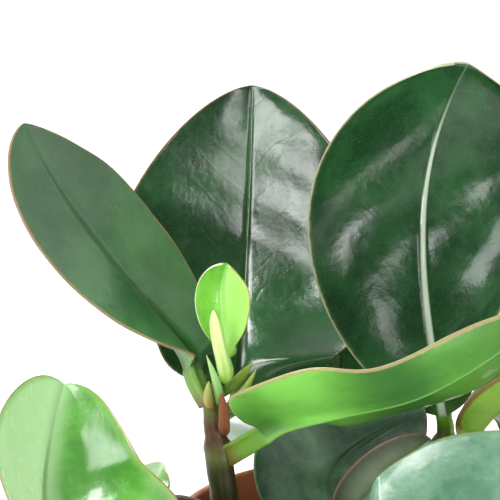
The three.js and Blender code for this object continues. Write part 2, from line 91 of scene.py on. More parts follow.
# Leaves: root on the stem, neck at the foot of the blade, lift and reach bending the midrib, tip and the
# way the upper side faces, in millimetres; fold and cup in degrees at the foot and at the tip
LEAVES = {
    "leaf_left_long": {
        "root": (-42, 0, 121.5), "neck": (-46, 3, 129.5), "lift": (-47.4, 7.3, 135.1),
        "reach": (-78.9, 1.2, 165.2), "tip": (-89.4, 8.1, 191.7), "face": (0.66, -0.45, 0.6),
        "width": 42.7, "widest": 0.56, "round": 0.73, "fold": (15.7, -1.8), "cup": (8.8, 6.1),
        "stout": 1.3, "twist": -31.4,
    },
    "leaf_back_round": {
        "root": (-41.6, 0.6, 119.4), "neck": (-35.5, 21, 118.5), "lift": (-34.6, 35, 136.9),
        "reach": (-32.5, 44, 160.3), "tip": (-32, 52, 193.1), "face": (0.05, -0.98, 0.2), "width": 73.4,
        "widest": 0.41, "round": 0.62, "fold": (7.9, 8.1), "cup": (11.8, 13.2), "twist": -8.8,
    },
    "leaf_right_cupped": {
        "root": (17.9, 13.5, 106), "neck": (17.4, 12.7, 114), "lift": (12.1, 21, 145),
        "reach": (7.5, 36, 171.6), "tip": (22.6, 22, 204.2), "face": (-0.12, -0.97, 0.2), "width": 66,
        "widest": 0.62, "round": 0.36, "fold": (5.1, 8.2), "cup": (33.5, 36.6), "twist": 43,
    },
    "leaf_low_edge_on": {
        "root": (-38.8, 0.6, 108), "neck": (-28.6, -6.8, 116.8), "lift": (-13.9, -13.9, 128.6),
        "reach": (9.3, -15.5, 114.1), "tip": (47.5, -22.3, 159.8), "face": (0, 0.55, 0.83),
        "width": 46.8, "widest": 0.33, "round": 0.75, "fold": (-10.6, 5.8), "cup": (19.4, 17.7),
        "twist": -9.3, "stout": 1.4, "wave": 1.1, "waves": 2.29, "phase": 0.07, "lobe": 8,
    },
    "leaf_over_rim": {
        "root": (-69, -8, 78), "neck": (-75.6, -15.4, 73.8), "lift": (-80.8, -35, 98.1),
        "reach": (-90.5, -11, 94.7), "tip": (-78.4, 5.3, 126.5), "face": (0.49, -0.78, 0.32),
        "width": 66.6, "widest": 0.27, "round": 0.42, "fold": (30, 34), "cup": (22, 24), "curl": 3.3,
        "twist": -28,
    },
    "leaf_front_wide": {
        "root": (-15, -2, 84.6), "neck": (-7, -18, 91), "lift": (9, -26, 96.5), "reach": (36, -40, 102),
        "tip": (62, -54, 95), "face": (-0.1, -0.38, 0.9), "width": 58, "widest": 0.56, "round": 0.5,
        "fold": (14, 14), "cup": (20, 20),
    },
    "leaf_front_inner": {
        "root": (-15, -1.8, 86.8), "neck": (-8.8, -5.4, 90), "lift": (-5.6, -6, 95.4),
        "reach": (2, -6.2, 105.2), "tip": (13, -6.4, 113.6), "face": (-0.2, -0.95, 0.2), "width": 16,
        "widest": 0.5, "round": 0.5, "fold": (4, 4), "cup": (10, 10), "stout": 0.7,
    },
    "leaf_middle_upright": {
        "root": (-15.2, -1.6, 85.4), "neck": (-8.6, 10.4, 88.7), "lift": (-17.2, 12.1, 97.7),
        "reach": (-6.8, 8.8, 107.8), "tip": (12.5, 7, 117), "face": (-0.2, -0.93, 0.3), "width": 44,
        "widest": 0.42, "round": 0.6, "fold": (2, 2), "cup": (6, 6),
    },
    "leaf_right_low": {
        "root": (18, 14, 105), "neck": (21.8, 3, 110), "lift": (25.6, 0.4, 117.2),
        "reach": (38, 0, 128.5), "tip": (57, -4, 138), "face": (0, 0.05, 1), "width": 16.5,
        "widest": 0.5, "round": 0.7, "fold": (48, 36), "cup": (14, 16),
    },
    "leaf_back_hidden": {
        "root": (-11, 28, 97), "neck": (-9.5, 33, 104.8), "lift": (-8, 44.5, 119),
        "reach": (-7, 54, 147), "tip": (-8, 53, 171.5), "face": (0.05, -0.97, 0.2), "width": 50,
        "widest": 0.5, "round": 0.5, "fold": (6, 6), "cup": (14, 14),
    },
    "leaf_back_low": {
        "root": (-11, 28, 95), "neck": (-8.5, 43.6, 99.5), "lift": (-7, 54, 106),
        "reach": (-5, 71, 118), "tip": (0, 87, 123), "face": (0, -0.5, 0.85), "width": 45,
        "widest": 0.5, "round": 0.55, "fold": (8, 6), "cup": (16, 16),
    },
    "leaf_back_left": {
        "root": (-12, 27, 92), "neck": (-19.4, 36, 91.6), "lift": (-24.4, 45, 93.4),
        "reach": (-30, 61, 96.5), "tip": (-33, 77, 91), "face": (0.1, -0.25, 0.95), "width": 37,
        "widest": 0.5, "round": 0.55, "fold": (8, 6), "cup": (12, 12),
    },
    "leaf_left_low": {
        "root": (-54.5, -7.4, 95.8), "neck": (-55.8, 5, 94.6), "lift": (-66, 18, 89),
        "reach": (-78, 33, 83), "tip": (-85, 47, 71), "face": (-0.2, -0.1, 1), "width": 34,
        "widest": 0.5, "round": 0.6, "fold": (8, 6), "cup": (12, 12),
    },
    "leaf_front_left": {
        "root": (-16.4, -1.2, 83.6), "neck": (-26.5, -13.4, 89.6), "lift": (-25, -28, 94),
        "reach": (-28, -52, 98), "tip": (-30, -74, 86), "face": (-0.1, -0.3, 0.95), "width": 34,
        "widest": 0.5, "round": 0.55, "fold": (8, 6), "cup": (14, 14),
    },
    "leaf_far_right_up": {
        "root": (39.5, 24.2, 102), "neck": (42, 26.5, 110), "lift": (49, 35, 126),
        "reach": (56, 36, 156), "tip": (54, 26, 184), "face": (-0.1, -0.95, 0.2), "width": 56,
        "widest": 0.52, "round": 0.52, "fold": (8, 8), "cup": (26, 20),
    },
    "leaf_far_right_side": {
        "root": (39, 24, 100.5), "neck": (50.5, 25.8, 105.3), "lift": (59.5, 29.8, 113),
        "reach": (78, 37, 129), "tip": (94, 42, 139), "face": (-0.5, -0.3, 0.8), "width": 46,
        "widest": 0.5, "round": 0.55, "fold": (8, 6), "cup": (16, 14),
    },
    "leaf_far_right_back": {
        "root": (38, 23.6, 98), "neck": (40.5, 36, 97.8), "lift": (45, 46.5, 101.5),
        "reach": (54, 66, 106), "tip": (60, 83, 101), "face": (-0.2, -0.35, 0.9), "width": 39,
        "widest": 0.55, "round": 0.55, "fold": (8, 6), "cup": (14, 14),
    },
    "leaf_right_drooping": {
        "root": (36.2, 22.8, 94), "neck": (45, 14, 94), "lift": (57, 12, 98), "reach": (78, 13, 99),
        "tip": (93, 12, 86), "face": (-0.1, 0, 1), "width": 36, "widest": 0.5, "round": 0.55,
        "fold": (8, 6), "cup": (12, 12),
    },
    "leaf_near_right": {
        "root": (45, -9.5, 95.5), "neck": (51.6, -10.6, 101.4), "lift": (61.6, -13.4, 110.4),
        "reach": (82, -22, 121), "tip": (98, -30, 119), "face": (-0.3, -0.3, 0.9), "width": 46,
        "widest": 0.5, "round": 0.55, "fold": (8, 6), "cup": (16, 14),
    },
    "young_leaf_cupped": {
        "root": (-39.7, -0.6, 128.3), "neck": (-38.8, -0.8, 133.4), "lift": (-38, 3, 138),
        "reach": (-41.6, 5, 149), "tip": (-38.4, 3.4, 156.4), "face": (0.05, -0.97, 0.2), "width": 19.4,
        "widest": 0.66, "round": 0.3, "fold": (20, 20), "cup": (45, 45), "stout": 0.35,
    },
}

# Buds and rolled young leaves: four points of the centre line and the radius in millimetres, the
# flatness, how far the width falls off toward the end and how blunt the end is
BUDS = {
    "rolled_leaf_pale": {
        "line": ((-39.4, -1.8, 127.8), (-36.8, -6.8, 130.4), (-41.2, -9, 138), (-41.6, -8.6, 147.8)),
        "radius": 2.3, "flat": 0.75, "taper": 0.35, "blunt": 10,
    },
    "spike_green": {
        "line": ((-41.2, -1.2, 120.8), (-38.9, -3.8, 123.2), (-41.2, -5.4, 129), (-43.4, -6, 135.4)),
        "radius": 1.3, "flat": 0.8, "taper": 0.3, "blunt": 3,
    },
    "sheath_brown": {
        "line": ((-39.8, -1.8, 113.4), (-38.8, -4.8, 114.6), (-38.7, -6, 119), (-39.7, -6.4, 125.8)),
        "radius": 1.7, "flat": 0.45, "taper": 0.25, "blunt": 6,
    },
    "bud_orange": {
        "line": ((-41.7, -1.5, 120.7), (-43.2, -5.2, 121.8), (-43.3, -5.3, 125), (-42.8, -4.6, 128.2)),
        "radius": 1.2, "flat": 1, "taper": 0, "blunt": 3,
    },
    "bud_pair": {
        "line": ((-40.6, 0.6, 122.4), (-37.3, 2, 124.2), (-34.6, 1.9, 127.8), (-31.9, 1.9, 131)),
        "radius": 1.3, "flat": 0.8, "taper": 0, "blunt": 3,
    },
    "bud_pair_low": {
        "line": ((-40.4, -0.8, 119.4), (-36.4, -1.8, 121), (-33.6, -1.3, 124.8), (-31, -0.8, 130)),
        "radius": 1, "flat": 0.8, "taper": 0, "blunt": 3,
    },
}

# Depth of the seam of a rolled leaf, as a share of its radius
SEAM_DEPTH = 0.16

# Skins of the leaves, with sRGB values. upper and under are the deep and the light tone of each side, rib
# the colour and strength of the line along the midrib, which on the cupped right leaf and on the young cupped
# leaf is a painted highlight. margin is the colour and width in millimetres of the dry edge, left and right
# of the midrib. band is a tint inside the edge, with its reach in millimetres and its strength. half is a
# tint of one side of the midrib that fades in between two places across it, in millimetres; on the leaf over
# the rim it is a painted highlight. Each of the zones is a tint between two parts of the blade's length; on
# the long left leaf and the low edge-on leaf some zones are painted light and shade. gloss is the roughness
# of the wax where it is smooth and where it is worn, coat the weight of the wet-looking layer, relief the
# depth of the dimples in millimetres, speck the share of pale dots and glow the share of light that passes
# inside.
MARGIN_BROWN = ("8a6444", 0.45)
MARGIN_CREAM = ("d8c39c", 0.6)
SKINS = {
    "long_left": {
        "upper": ("245428", "3d7038"), "under": ("6c9a4c", "8ab468"), "rib": ("24441f", 0.8),
        "margin": (("9a7a5a", 0.45), ("8a6444", 0.4)),
        "zones": (
            (-0.3, 0.05, "4a8a38", 0.5),
            (0.0, 0.5, "2c6a28", 0.5),
            # Painted sheen: grey-olive tint toward the tip
            (0.5, 1.4, "3a543e", 0.6),
        ),
        "gloss": (0.26, 0.42), "speck": 0.10,
    },
    "round_back": {
        "upper": ("173c1d", "2c5832"), "under": ("7f9f68", "96b47c"), "rib": ("1f4522", 0.7),
        "margin": (MARGIN_BROWN, MARGIN_BROWN), "zones": ((0.05, 0.55, "2f6e38", 0.55),),
        "gloss": (0.13, 0.26), "coat": 0.35, "relief": 0.13, "speck": 0.12,
    },
    "cupped_right": {
        # The near-white rib of this leaf is a painted highlight along the midrib groove
        "upper": ("183e20", "2a5830"), "under": ("7f9f68", "96b47c"), "rib": ("d4e0cc", 0.85),
        "margin": (("b4aa8a", 0.5), ("7a5c3c", 0.35)), "band": ("5c7c4c", 1.4, 0.4),
        "gloss": (0.13, 0.22), "coat": 0.05, "ior": 1.42, "relief": 0.11, "speck": 0.12,
    },
    "low_edge_on": {
        "upper": ("4a8030", "6fae48"), "under": ("529034", "6cb044"), "rib": ("9ad468", 0.7),
        "margin": (("9a8a68", 0.4), ("ab966c", 0.6)),
        # Painted shade at the foot, a bright band of painted light shining through the blade, then painted
        # shade toward the tip
        "zones": (
            (-0.05, 0.12, "3c7030", 0.6),
            (0.12, 0.46, "90dc60", 0.85),
            (0.46, 0.74, "2f6420", 0.8),
            (0.66, 1.3, "447222", 0.8),
        ),
        "gloss": (0.26, 0.38), "glow": 0.08,
    },
    "over_rim": {
        "upper": ("458a2a", "6ab046"), "under": ("68a650", "92c878"), "rib": ("4f8a3a", 0.6),
        "margin": (("a06a3c", 0.5), ("a06a3c", 0.6)), "band": ("8cb860", 3.5, 0.7),
        # The pale half tint is a painted highlight on the left half of this leaf
        "half": ("d4f6c2", 5, -3, 0.9), "gloss": (0.18, 0.3), "coat": 0.6, "glow": 0.06,
    },
    "front_wide": {
        "upper": ("5a8c70", "82b292"), "under": ("7f9f68", "96b47c"), "rib": ("5a8a5c", 0.4),
        "margin": (("a9b070", 0.5), ("a9b070", 0.5)), "gloss": (0.2, 0.32), "speck": 0.08, "glow": 0.03,
    },
    "front_inner": {
        "upper": ("647656", "86967a"), "under": ("7f9f68", "96b47c"), "rib": ("4f5f3a", 0.3),
        "margin": (MARGIN_BROWN, MARGIN_BROWN), "band": ("2a3622", 5.5, 0.85), "gloss": (0.32, 0.46),
    },
    "middle_upright": {
        "upper": ("3a5e44", "6e9274"), "under": ("7f9f68", "96b47c"), "rib": ("44604a", 0.4),
        "margin": (("93a888", 0.6), ("7a5238", 0.6)), "gloss": (0.28, 0.44), "speck": 0.14,
    },
    "right_low": {
        "upper": ("3f6a2c", "5a8c3c"), "under": ("76a834", "98c850"), "rib": ("86a040", 0.5),
        "margin": (("8a5c34", 0.6), ("8a5c34", 0.6)), "gloss": (0.2, 0.34), "glow": 0.06,
    },
    "tip": {
        # The pale rib of this leaf is a painted highlight along the midrib
        "upper": ("5fae34", "8ed850"), "under": ("4f9c2c", "86d24c"), "rib": ("c0f088", 0.7),
        "margin": (("ece0c0", 0.7), ("b8703c", 0.6)), "half": ("c4f888", -0.5, 1.5, 0.9),
        "gloss": (0.18, 0.28), "glow": 0.12,
    },
    "grown": {
        "upper": ("2c5430", "46703f"), "under": ("7f9f68", "96b47c"), "rib": ("3a5c36", 0.5),
        "margin": (MARGIN_BROWN, MARGIN_BROWN), "gloss": (0.2, 0.36), "coat": 0.4, "speck": 0.1,
    },
    "fresh": {
        "upper": ("5c9a44", "86bc64"), "under": ("7cae58", "9aca78"), "rib": ("86bc64", 0.5),
        "margin": (MARGIN_CREAM, MARGIN_CREAM), "gloss": (0.22, 0.36), "glow": 0.06,
    },
}

# The skin each leaf grows in; every other leaf is "grown"
SKIN_OF = {
    "leaf_left_long": "long_left",
    "leaf_back_round": "round_back",
    "leaf_right_cupped": "cupped_right",
    "leaf_low_edge_on": "low_edge_on",
    "leaf_over_rim": "over_rim",
    "leaf_front_wide": "front_wide",
    "leaf_front_inner": "front_inner",
    "leaf_middle_upright": "middle_upright",
    "leaf_right_low": "right_low",
    "leaf_left_low": "fresh",
    "leaf_front_left": "fresh",
    "leaf_right_drooping": "fresh",
    "young_leaf_cupped": "tip",
}

# Section of a leaf in millimetres, with the slow swells of its blade by length and height
EDGE_THICK = 0.8
MIDDLE_THICK = 0.4
PETIOLE_HALF = 2.1
RIB_DEPTH = 2.6
RIB_WIDTH = 1.6
GROOVE_DEPTH = 0.5
MARGIN_ROUND = 0.42
RIB_STEPS = (0, 0.35, 0.7, 1.1, 1.6, 2.3, 3.3)
OUTER_STEPS = 14
SWELLS = ((34, 0.22), (21, 0.14), (12, 0.06))
SWELL_FULL_WIDTH = 40

# How a leaf bends. KNEE is the part of the petiole's length that its bends take. BLADE_FOOT, LAST_ROW and
# CURL_START are parts of the blade's length: where it has opened, where its last row lies and where its tip
# starts to curl. FOOT_FOLD is in degrees, and WAVE_SHIFT is the part of a wave between the two margins.
KNEE = 0.35
BLADE_FOOT = 0.12
LAST_ROW = 0.9992
CURL_START = 0.7
FOOT_FOLD = 25
WAVE_SHIFT = 0.35

# Stems in millimetres: step between rows, how near a leaf's root makes a node, distance from the node of its
# ring, and the distance that stands for no node at all
STEM_STEP = 0.7
NODE_REACH = 5
NODE_RING = 1.6
FAR_FROM_NODE = 60.0

# Stems in shares of their radius: the swelling at a node and the height of their soft ribs
NODE_SWELL = 0.015
STEM_RIB = 0.012

# Rings of the dome that closes a stem, and the number of their steps up to its top
DOME_RINGS = 5
DOME_SPAN = 5.2

# Pot and soil in millimetres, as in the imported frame, with the steps and waves of the soil's finer mound
COLLAR_HEIGHT = 18
COLLAR_STEP = 1.6
WALL = 1.8
FLOOR = 2.6
DRAIN_COUNT = 6
DRAIN_RADIUS = 4
DRAIN_RING = 22
GAP = 0.3
SOIL_TOP = 79
SOIL_MOUND = 2.4
SOIL_ROUGH = 0.9
SOIL_SIDES = 144
SOIL_RINGS = 46
SOIL_WAVES = 26
SOIL_WAVE_HEIGHT = 0.16
STEM_CLEAR = 4
RIM_LIP = 2.1

# Edges of the pot sharper than this stay crisp, in degrees
SHARP_DEGREES = 40


def linear(code):
    """Linear red, green and blue of an sRGB hex value such as 4a7247."""
    parts = [int(code[i:i + 2], 16) / 255 for i in (0, 2, 4)]
    return tuple(p / 12.92 if p <= 0.04045 else ((p + 0.055) / 1.055) ** 2.4 for p in parts)


def colour(name, code, words):
    return FloatVectorProperty(
        name=name, description=words, default=linear(code), size=3, min=0, max=1, subtype="COLOR")


def length(name, millimetres, words):
    return FloatProperty(
        name=name, description=words, default=millimetres * MM, min=0, subtype="DISTANCE", unit="LENGTH")


def power(name, watts, words):
    return FloatProperty(name=name, description=words + ", in watts", default=watts, min=0)


def brightness(name, share, words):
    return FloatProperty(name=name, description=words, default=share, min=0)


class PeperomiaPot(PropertyGroup):
    height: length("Height", 90, "Height of the pot over the surface it rests on")
    rim_radius: length("Rim radius", 52, "Outer radius of the rim")
    base_radius: length("Base radius", 37, "Outer radius of the underside")
    sides: IntProperty(name="Sides", description="Steps round the pot", default=160, min=24)
    terracotta: colour("Terracotta", "a9603c", "Colour of the moulded plastic")
    terracotta_dark: colour("Terracotta in shade", "8c4a2c", "Darker tone of the moulded plastic")


class PeperomiaSoil(PropertyGroup):
    crumbs: IntProperty(name="Crumbs", description="Loose crumbs on the soil", default=1100, min=0)
    perlite: IntProperty(name="Perlite grains", description="White grains in the soil", default=46, min=0)
    peat: colour("Peat", "33241a", "Dark tone of the moist peat")
    bark: colour("Bark", "5b4130", "Light tone of the fibres and bark")


class PeperomiaStems(PropertyGroup):
    sides: IntProperty(name="Sides", description="Steps round a stem", default=36, min=8)
    low: colour("Low on the stem", "242c06", "Colour of the old stem near the soil")
    middle: colour("Middle of the stem", "4a2c08", "Colour of the stem between its nodes")
    node: colour("Node", "66802c", "Colour of a swollen node")
    scar: colour("Leaf scar", "5c2c1c", "Reddish brown ring where a leaf sits")


class PeperomiaLeaves(PropertyGroup):
    rows: IntProperty(name="Rows", description="Steps along a blade", default=72, min=12)
    petiole_rows: IntProperty(name="Petiole rows", description="Steps along a petiole", default=14, min=4)
    petiole: colour("Petiole", "6a9832", "Petiole and foot of the midrib")
    petiole_root: colour("Foot of the petiole", "7a4a26", "Where the petiole meets the stem")
    speckle: colour("Speckle", "c4d2c0", "Fine pale dots under the wax of an old leaf")


for skin_name, skin in SKINS.items():
    words = skin_name.replace("_", " ")
    tones = {
        "_upper": (skin["upper"][0], ", upper side", "Deepest green of the upper side"),
        "_light": (skin["upper"][1], ", lighter", "Upper side between the veins"),
        "_under": (skin["under"][0], ", underside", "Deepest green of the underside"),
        "_pale": (skin["under"][1], ", underside, lighter", "Underside between the veins"),
    }
    for ending, (code, label, meaning) in tones.items():
        PeperomiaLeaves.__annotations__[skin_name + ending] = colour(words + label, code, meaning)


class PeperomiaTip(PropertyGroup):
    sides: IntProperty(name="Sides", description="Steps round a bud", default=28, min=8)
    cream: colour("Rolled leaf", "c8ec7c", "Rolled leaf before it turns green")
    spike: colour("Spike", "86c268", "Thin yellow-green spike")
    sheath: colour("Sheath", "6a3419", "Dried sheath at the node")
    bud: colour("Bud", "86b03a", "Small side buds")
    orange: colour("Orange bud", "c98a4a", "Small bud with an orange tip")


class PeperomiaStage(PropertyGroup):
    floor: colour("Floor", "f6f6f4", "Plain pale floor")
    key: power("Left light", 0.52, "Small soft light at the left, near the plant")
    far_left: power("Far left light", 4.8, "Soft light far left")
    far_right: power("Far right light", 0.7, "Low light behind at the right")
    high: power("High light", 6.0, "Wide soft light high at the left")
    low: power("Low light", 0.5, "Pale card on the table at the right")
    strip: power("Narrow light", 1.2, "Narrow light right of the camera")
    side: power("Right light", 1.0, "Soft light at the right")
    front: power("Front right light", 3.0, "Low light at the front right")
    top: power("Top light", 15, "Large light overhead")
    air_front: brightness("Air in front", 0.14, "Brightness of the air in front of the plant")
    air_back: brightness("Air behind", 1.1, "Brightness of the air behind and above it")


def unit(vectors):
    size = np.linalg.norm(vectors, axis=-1, keepdims=True)
    return vectors / np.maximum(size, 1e-9)


def cubic(points, t):
    """Points and directions of a cubic curve at the parts t of its length."""
    p0, p1, p2, p3 = (np.array(p, float) for p in points)
    t = np.asarray(t, float)[:, None]
    u = 1 - t
    place = u ** 3 * p0 + 3 * u * u * t * p1 + 3 * u * t * t * p2 + t ** 3 * p3
    way = 3 * u * u * (p1 - p0) + 6 * u * t * (p2 - p1) + 3 * t * t * (p3 - p2)
    return place, unit(way)


def carry(ways, face, start):
    """One direction square to a line, carried along it from the row given."""
    out = np.zeros_like(ways)
    face = np.array(face, float)
    out[start] = unit(face - face.dot(ways[start]) * ways[start])
    for i in range(start + 1, len(ways)):
        out[i] = unit(out[i - 1] - out[i - 1].dot(ways[i]) * ways[i])
    for i in range(start - 1, -1, -1):
        out[i] = unit(out[i + 1] - out[i + 1].dot(ways[i]) * ways[i])
    return out


def smooth(low, high, value):
    v = np.clip((value - low) / (high - low), 0, 1)
    return v * v * (3 - 2 * v)


def piece(name, vertices, faces, material, replaced, attributes=None, sharp=None):
    """Smooth mesh in metres from points in millimetres, riding on the body and standing for its nodes."""
    mesh = bpy.data.meshes.new(name)
    mesh.from_pydata((np.asarray(vertices, float) * MM).tolist(), [], faces)
    mesh.validate()
    for key, values in (attributes or {}).items():
        layer = mesh.attributes.new(key, "FLOAT_VECTOR", "POINT")
        layer.data.foreach_set("vector", np.asarray(values, np.float32).ravel())
    mesh.shade_smooth()
    if sharp:
        mesh.set_sharp_from_angle(angle=math.radians(sharp))
    mesh.materials.append(material)
    made = bpy.data.objects.new(name, mesh)
    bpy.context.scene.collection.objects.link(made)
    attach(made, BODY)
    if replaced:
        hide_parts(*replaced)
    return made


def node(tree, kind, inputs=None, **settings):
    """Add a shader node with its settings, its input values and its links."""
    made = tree.nodes.new(kind)
    for key, value in settings.items():
        setattr(made, key, value)
    for key, value in (inputs or {}).items():
        if isinstance(value, bpy.types.NodeSocket):
            tree.links.new(value, made.inputs[key])
        else:
            made.inputs[key].default_value = value
    return made


def rgba(values):
    return (*values[:3], 1.0)


# Settings shared by the nodes that ease a value and by those that mix two colours
EASED = {"interpolation_type": "SMOOTHSTEP"}
COLOURS = {"data_type": "RGBA"}

# Side veins of a leaf: spacing, half width and wandering in millimetres, their slope and share of tint
VEIN_SPACING = 9.0
VEIN_HALF = 0.9
VEIN_DRIFT = 9.0
VEIN_SLOPE = 0.9
VEIN_TINT = 0.03

# Leaf skin: how strongly its fine mottle shows, how far the clouds shift the edge of a zone, as a part of
# the blade's length, and how much rougher the underside is than the worn upper side
MOTTLE = 1.3
ZONE_DRIFT = 0.08
UNDERSIDE_DULLER = 0.1


def empty_material(name):
    material = bpy.data.materials.new(name)
    material.use_nodes = True
    material.node_tree.nodes.clear()
    return material, material.node_tree


def leaf_places(tree):
    """Sockets that say where a point lies on its leaf, in parts of it and in millimetres."""
    part = node(tree, "ShaderNodeAttribute", attribute_name="leaf_place")
    part = node(tree, "ShaderNodeSeparateXYZ", {0: part.outputs["Vector"]})
    along, out, top_side = part.outputs
    measure = node(tree, "ShaderNodeAttribute", attribute_name="leaf_mm").outputs["Vector"]
    flat = node(tree, "ShaderNodeSeparateXYZ", {0: measure})
    x, y, edge = flat.outputs
    coords = node(tree, "ShaderNodeTexCoord")
    solid = node(tree, "ShaderNodeVectorMath", {0: coords.outputs["Object"], 3: 1000}, operation="SCALE")
    lean = node(tree, "ShaderNodeMath", {0: x}, operation="ABSOLUTE")
    blade = node(tree, "ShaderNodeMapRange", {0: along, 1: 0.0, 2: BLADE_FOOT})
    return SimpleNamespace(
        along=along, out=out, top_side=top_side, measure=measure, x=x, y=y, edge=edge,
        solid=solid.outputs["Vector"], lean=lean.outputs[0], blade=blade.outputs[0])


def leaf_greens(tree, at, skin, greens):
    """Greens of both sides, in clouds about 22 mm across with a mottle of 3 mm, and the tints on them, some
    of them painted light and shade.
    """
    upper, upper_light, under, under_light = greens
    cloud = node(tree, "ShaderNodeTexNoise", {
        "Vector": at.solid, "Scale": 1 / 22, "Detail": 2.5, "Roughness": 0.55}).outputs[0]
    cloud = node(tree, "ShaderNodeMapRange", {0: cloud, 1: 0.36, 2: 0.66}, **EASED).outputs[0]
    mottle = node(tree, "ShaderNodeTexNoise", {
        "Vector": at.solid, "Scale": 1 / 3, "Detail": 3, "Roughness": 0.6}).outputs[0]
    tone = node(tree, "ShaderNodeMath", {0: mottle, 1: 0.5}, operation="SUBTRACT").outputs[0]
    tone = node(tree, "ShaderNodeMath", {
        0: tone, 1: MOTTLE, 2: cloud}, operation="MULTIPLY_ADD", use_clamp=True).outputs[0]
    below = node(tree, "ShaderNodeMix", {
        0: tone, 6: rgba(under), 7: rgba(under_light)}, **COLOURS).outputs[2]
    above = node(tree, "ShaderNodeMix", {
        0: tone, 6: rgba(upper), 7: rgba(upper_light)}, **COLOURS).outputs[2]
    base = node(tree, "ShaderNodeMix", {0: at.top_side, 6: below, 7: above}, **COLOURS).outputs[2]
    # Zones along the blade; on some leaves these are painted light and shade
    for start, end, code, strength in skin.get("zones", ()):
        middle = (start + end) / 2
        drift = node(tree, "ShaderNodeMath", {
            0: cloud, 1: ZONE_DRIFT, 2: at.along}, operation="MULTIPLY_ADD").outputs[0]
        rise = node(tree, "ShaderNodeMapRange", {0: drift, 1: start, 2: middle}, **EASED).outputs[0]
        fall = node(tree, "ShaderNodeMapRange", {
            0: at.along, 1: middle, 2: end, 3: strength, 4: 0.0}, **EASED).outputs[0]
        zone = node(tree, "ShaderNodeMath", {0: rise, 1: fall}, operation="MULTIPLY").outputs[0]
        base = node(tree, "ShaderNodeMix", {0: zone, 6: base, 7: rgba(linear(code))}, **COLOURS).outputs[2]
    # Tint of one side of the midrib; on the leaf over the rim this is a painted highlight
    if "half" in skin:
        code, start, end, strength = skin["half"]
        part = node(tree, "ShaderNodeMapRange", {
            0: at.x, 1: start, 2: end, 3: 0.0, 4: strength}, **EASED).outputs[0]
        base = node(tree, "ShaderNodeMix", {0: part, 6: base, 7: rgba(linear(code))}, **COLOURS).outputs[2]
    return base


def side_veins(tree, at):
    """Strength of the side veins, which leave the midrib forwards and outwards and fade before the margin."""
    slant = node(tree, "ShaderNodeMath", {
        0: at.lean, 1: -VEIN_SLOPE, 2: at.y}, operation="MULTIPLY_ADD").outputs[0]
    drift = node(tree, "ShaderNodeTexNoise", {
        "Vector": at.solid, "Scale": 1 / 12, "Detail": 1, "Roughness": 0.5}).outputs[0]
    slant = node(tree, "ShaderNodeMath", {
        0: drift, 1: VEIN_DRIFT, 2: slant}, operation="MULTIPLY_ADD").outputs[0]
    slant = node(tree, "ShaderNodeMath", {0: slant, 1: VEIN_SPACING / 2}, operation="PINGPONG").outputs[0]
    line = node(tree, "ShaderNodeMapRange", {
        0: slant, 1: 0.0, 2: VEIN_HALF, 3: 1.0, 4: 0.0}, **EASED).outputs[0]
    fade = node(tree, "ShaderNodeMapRange", {
        0: at.out, 1: 0.15, 2: 0.8, 3: 1.0, 4: 0.0}, **EASED).outputs[0]
    vein = node(tree, "ShaderNodeMath", {0: line, 1: fade}, operation="MULTIPLY").outputs[0]
    return node(tree, "ShaderNodeMath", {0: vein, 1: at.blade}, operation="MULTIPLY").outputs[0]


def pale_dots(tree, at, base, share):
    """Fine pale dots of 0.35 mm, more of them in some clouds than in others."""
    leaves = bpy.context.scene.peperomia_leaves
    dots = node(tree, "ShaderNodeTexNoise", {
        "Vector": at.solid, "Scale": 1 / 0.35, "Detail": 2, "Roughness": 0.6}).outputs[0]
    dots = node(tree, "ShaderNodeMapRange", {0: dots, 1: 0.56, 2: 0.74}, **EASED).outputs[0]
    crowd = node(tree, "ShaderNodeTexNoise", {
        "Vector": at.solid, "Scale": 1 / 9, "Detail": 2, "Roughness": 0.5}).outputs[0]
    crowd = node(tree, "ShaderNodeMapRange", {
        0: crowd, 1: 0.35, 2: 0.65, 3: 0.3, 4: 1.0}, **EASED).outputs[0]
    dots = node(tree, "ShaderNodeMath", {0: dots, 1: crowd}, operation="MULTIPLY").outputs[0]
    part = node(tree, "ShaderNodeMath", {0: dots, 1: share}, operation="MULTIPLY").outputs[0]
    return node(tree, "ShaderNodeMix", {0: part, 6: base, 7: rgba(leaves.speckle)}, **COLOURS).outputs[2]


def midrib_tone_or_highlight(tree, at, base, code, strength):
    """Line of the midrib in its own colour, a painted highlight on the cupped right and young cupped leaves,
    fading out 1.5 mm to each side at the foot and 0.3 mm at the tip.
    """
    taper = node(tree, "ShaderNodeMath", {
        0: at.along, 1: -1.2, 2: 1.5}, operation="MULTIPLY_ADD").outputs[0]
    part = node(tree, "ShaderNodeMath", {0: at.lean, 1: taper}, operation="DIVIDE").outputs[0]
    part = node(tree, "ShaderNodeMapRange", {
        0: part, 1: 0.35, 2: 1.0, 3: strength, 4: 0.0}, **EASED).outputs[0]
    fade = node(tree, "ShaderNodeMapRange", {
        0: at.along, 1: 0.7, 2: 0.95, 3: 1.0, 4: 0.15}, **EASED).outputs[0]
    part = node(tree, "ShaderNodeMath", {0: part, 1: fade}, operation="MULTIPLY").outputs[0]
    return node(tree, "ShaderNodeMix", {0: part, 6: base, 7: rgba(linear(code))}, **COLOURS).outputs[2]


def petiole_green(tree, at, base):
    """Green of the petiole, browner where it meets the stem."""
    leaves = bpy.context.scene.peperomia_leaves
    part = node(tree, "ShaderNodeMapRange", {
        0: at.along, 1: -0.12, 2: 0.07, 3: 1.0, 4: 0.0}, **EASED).outputs[0]
    base = node(tree, "ShaderNodeMix", {0: part, 6: base, 7: rgba(leaves.petiole)}, **COLOURS).outputs[2]
    part = node(tree, "ShaderNodeMapRange", {
        0: at.along, 1: -1.0, 2: -0.45, 3: 0.8, 4: 0.0}, **EASED).outputs[0]
    return node(tree, "ShaderNodeMix", {
        0: part, 6: base, 7: rgba(leaves.petiole_root)}, **COLOURS).outputs[2]


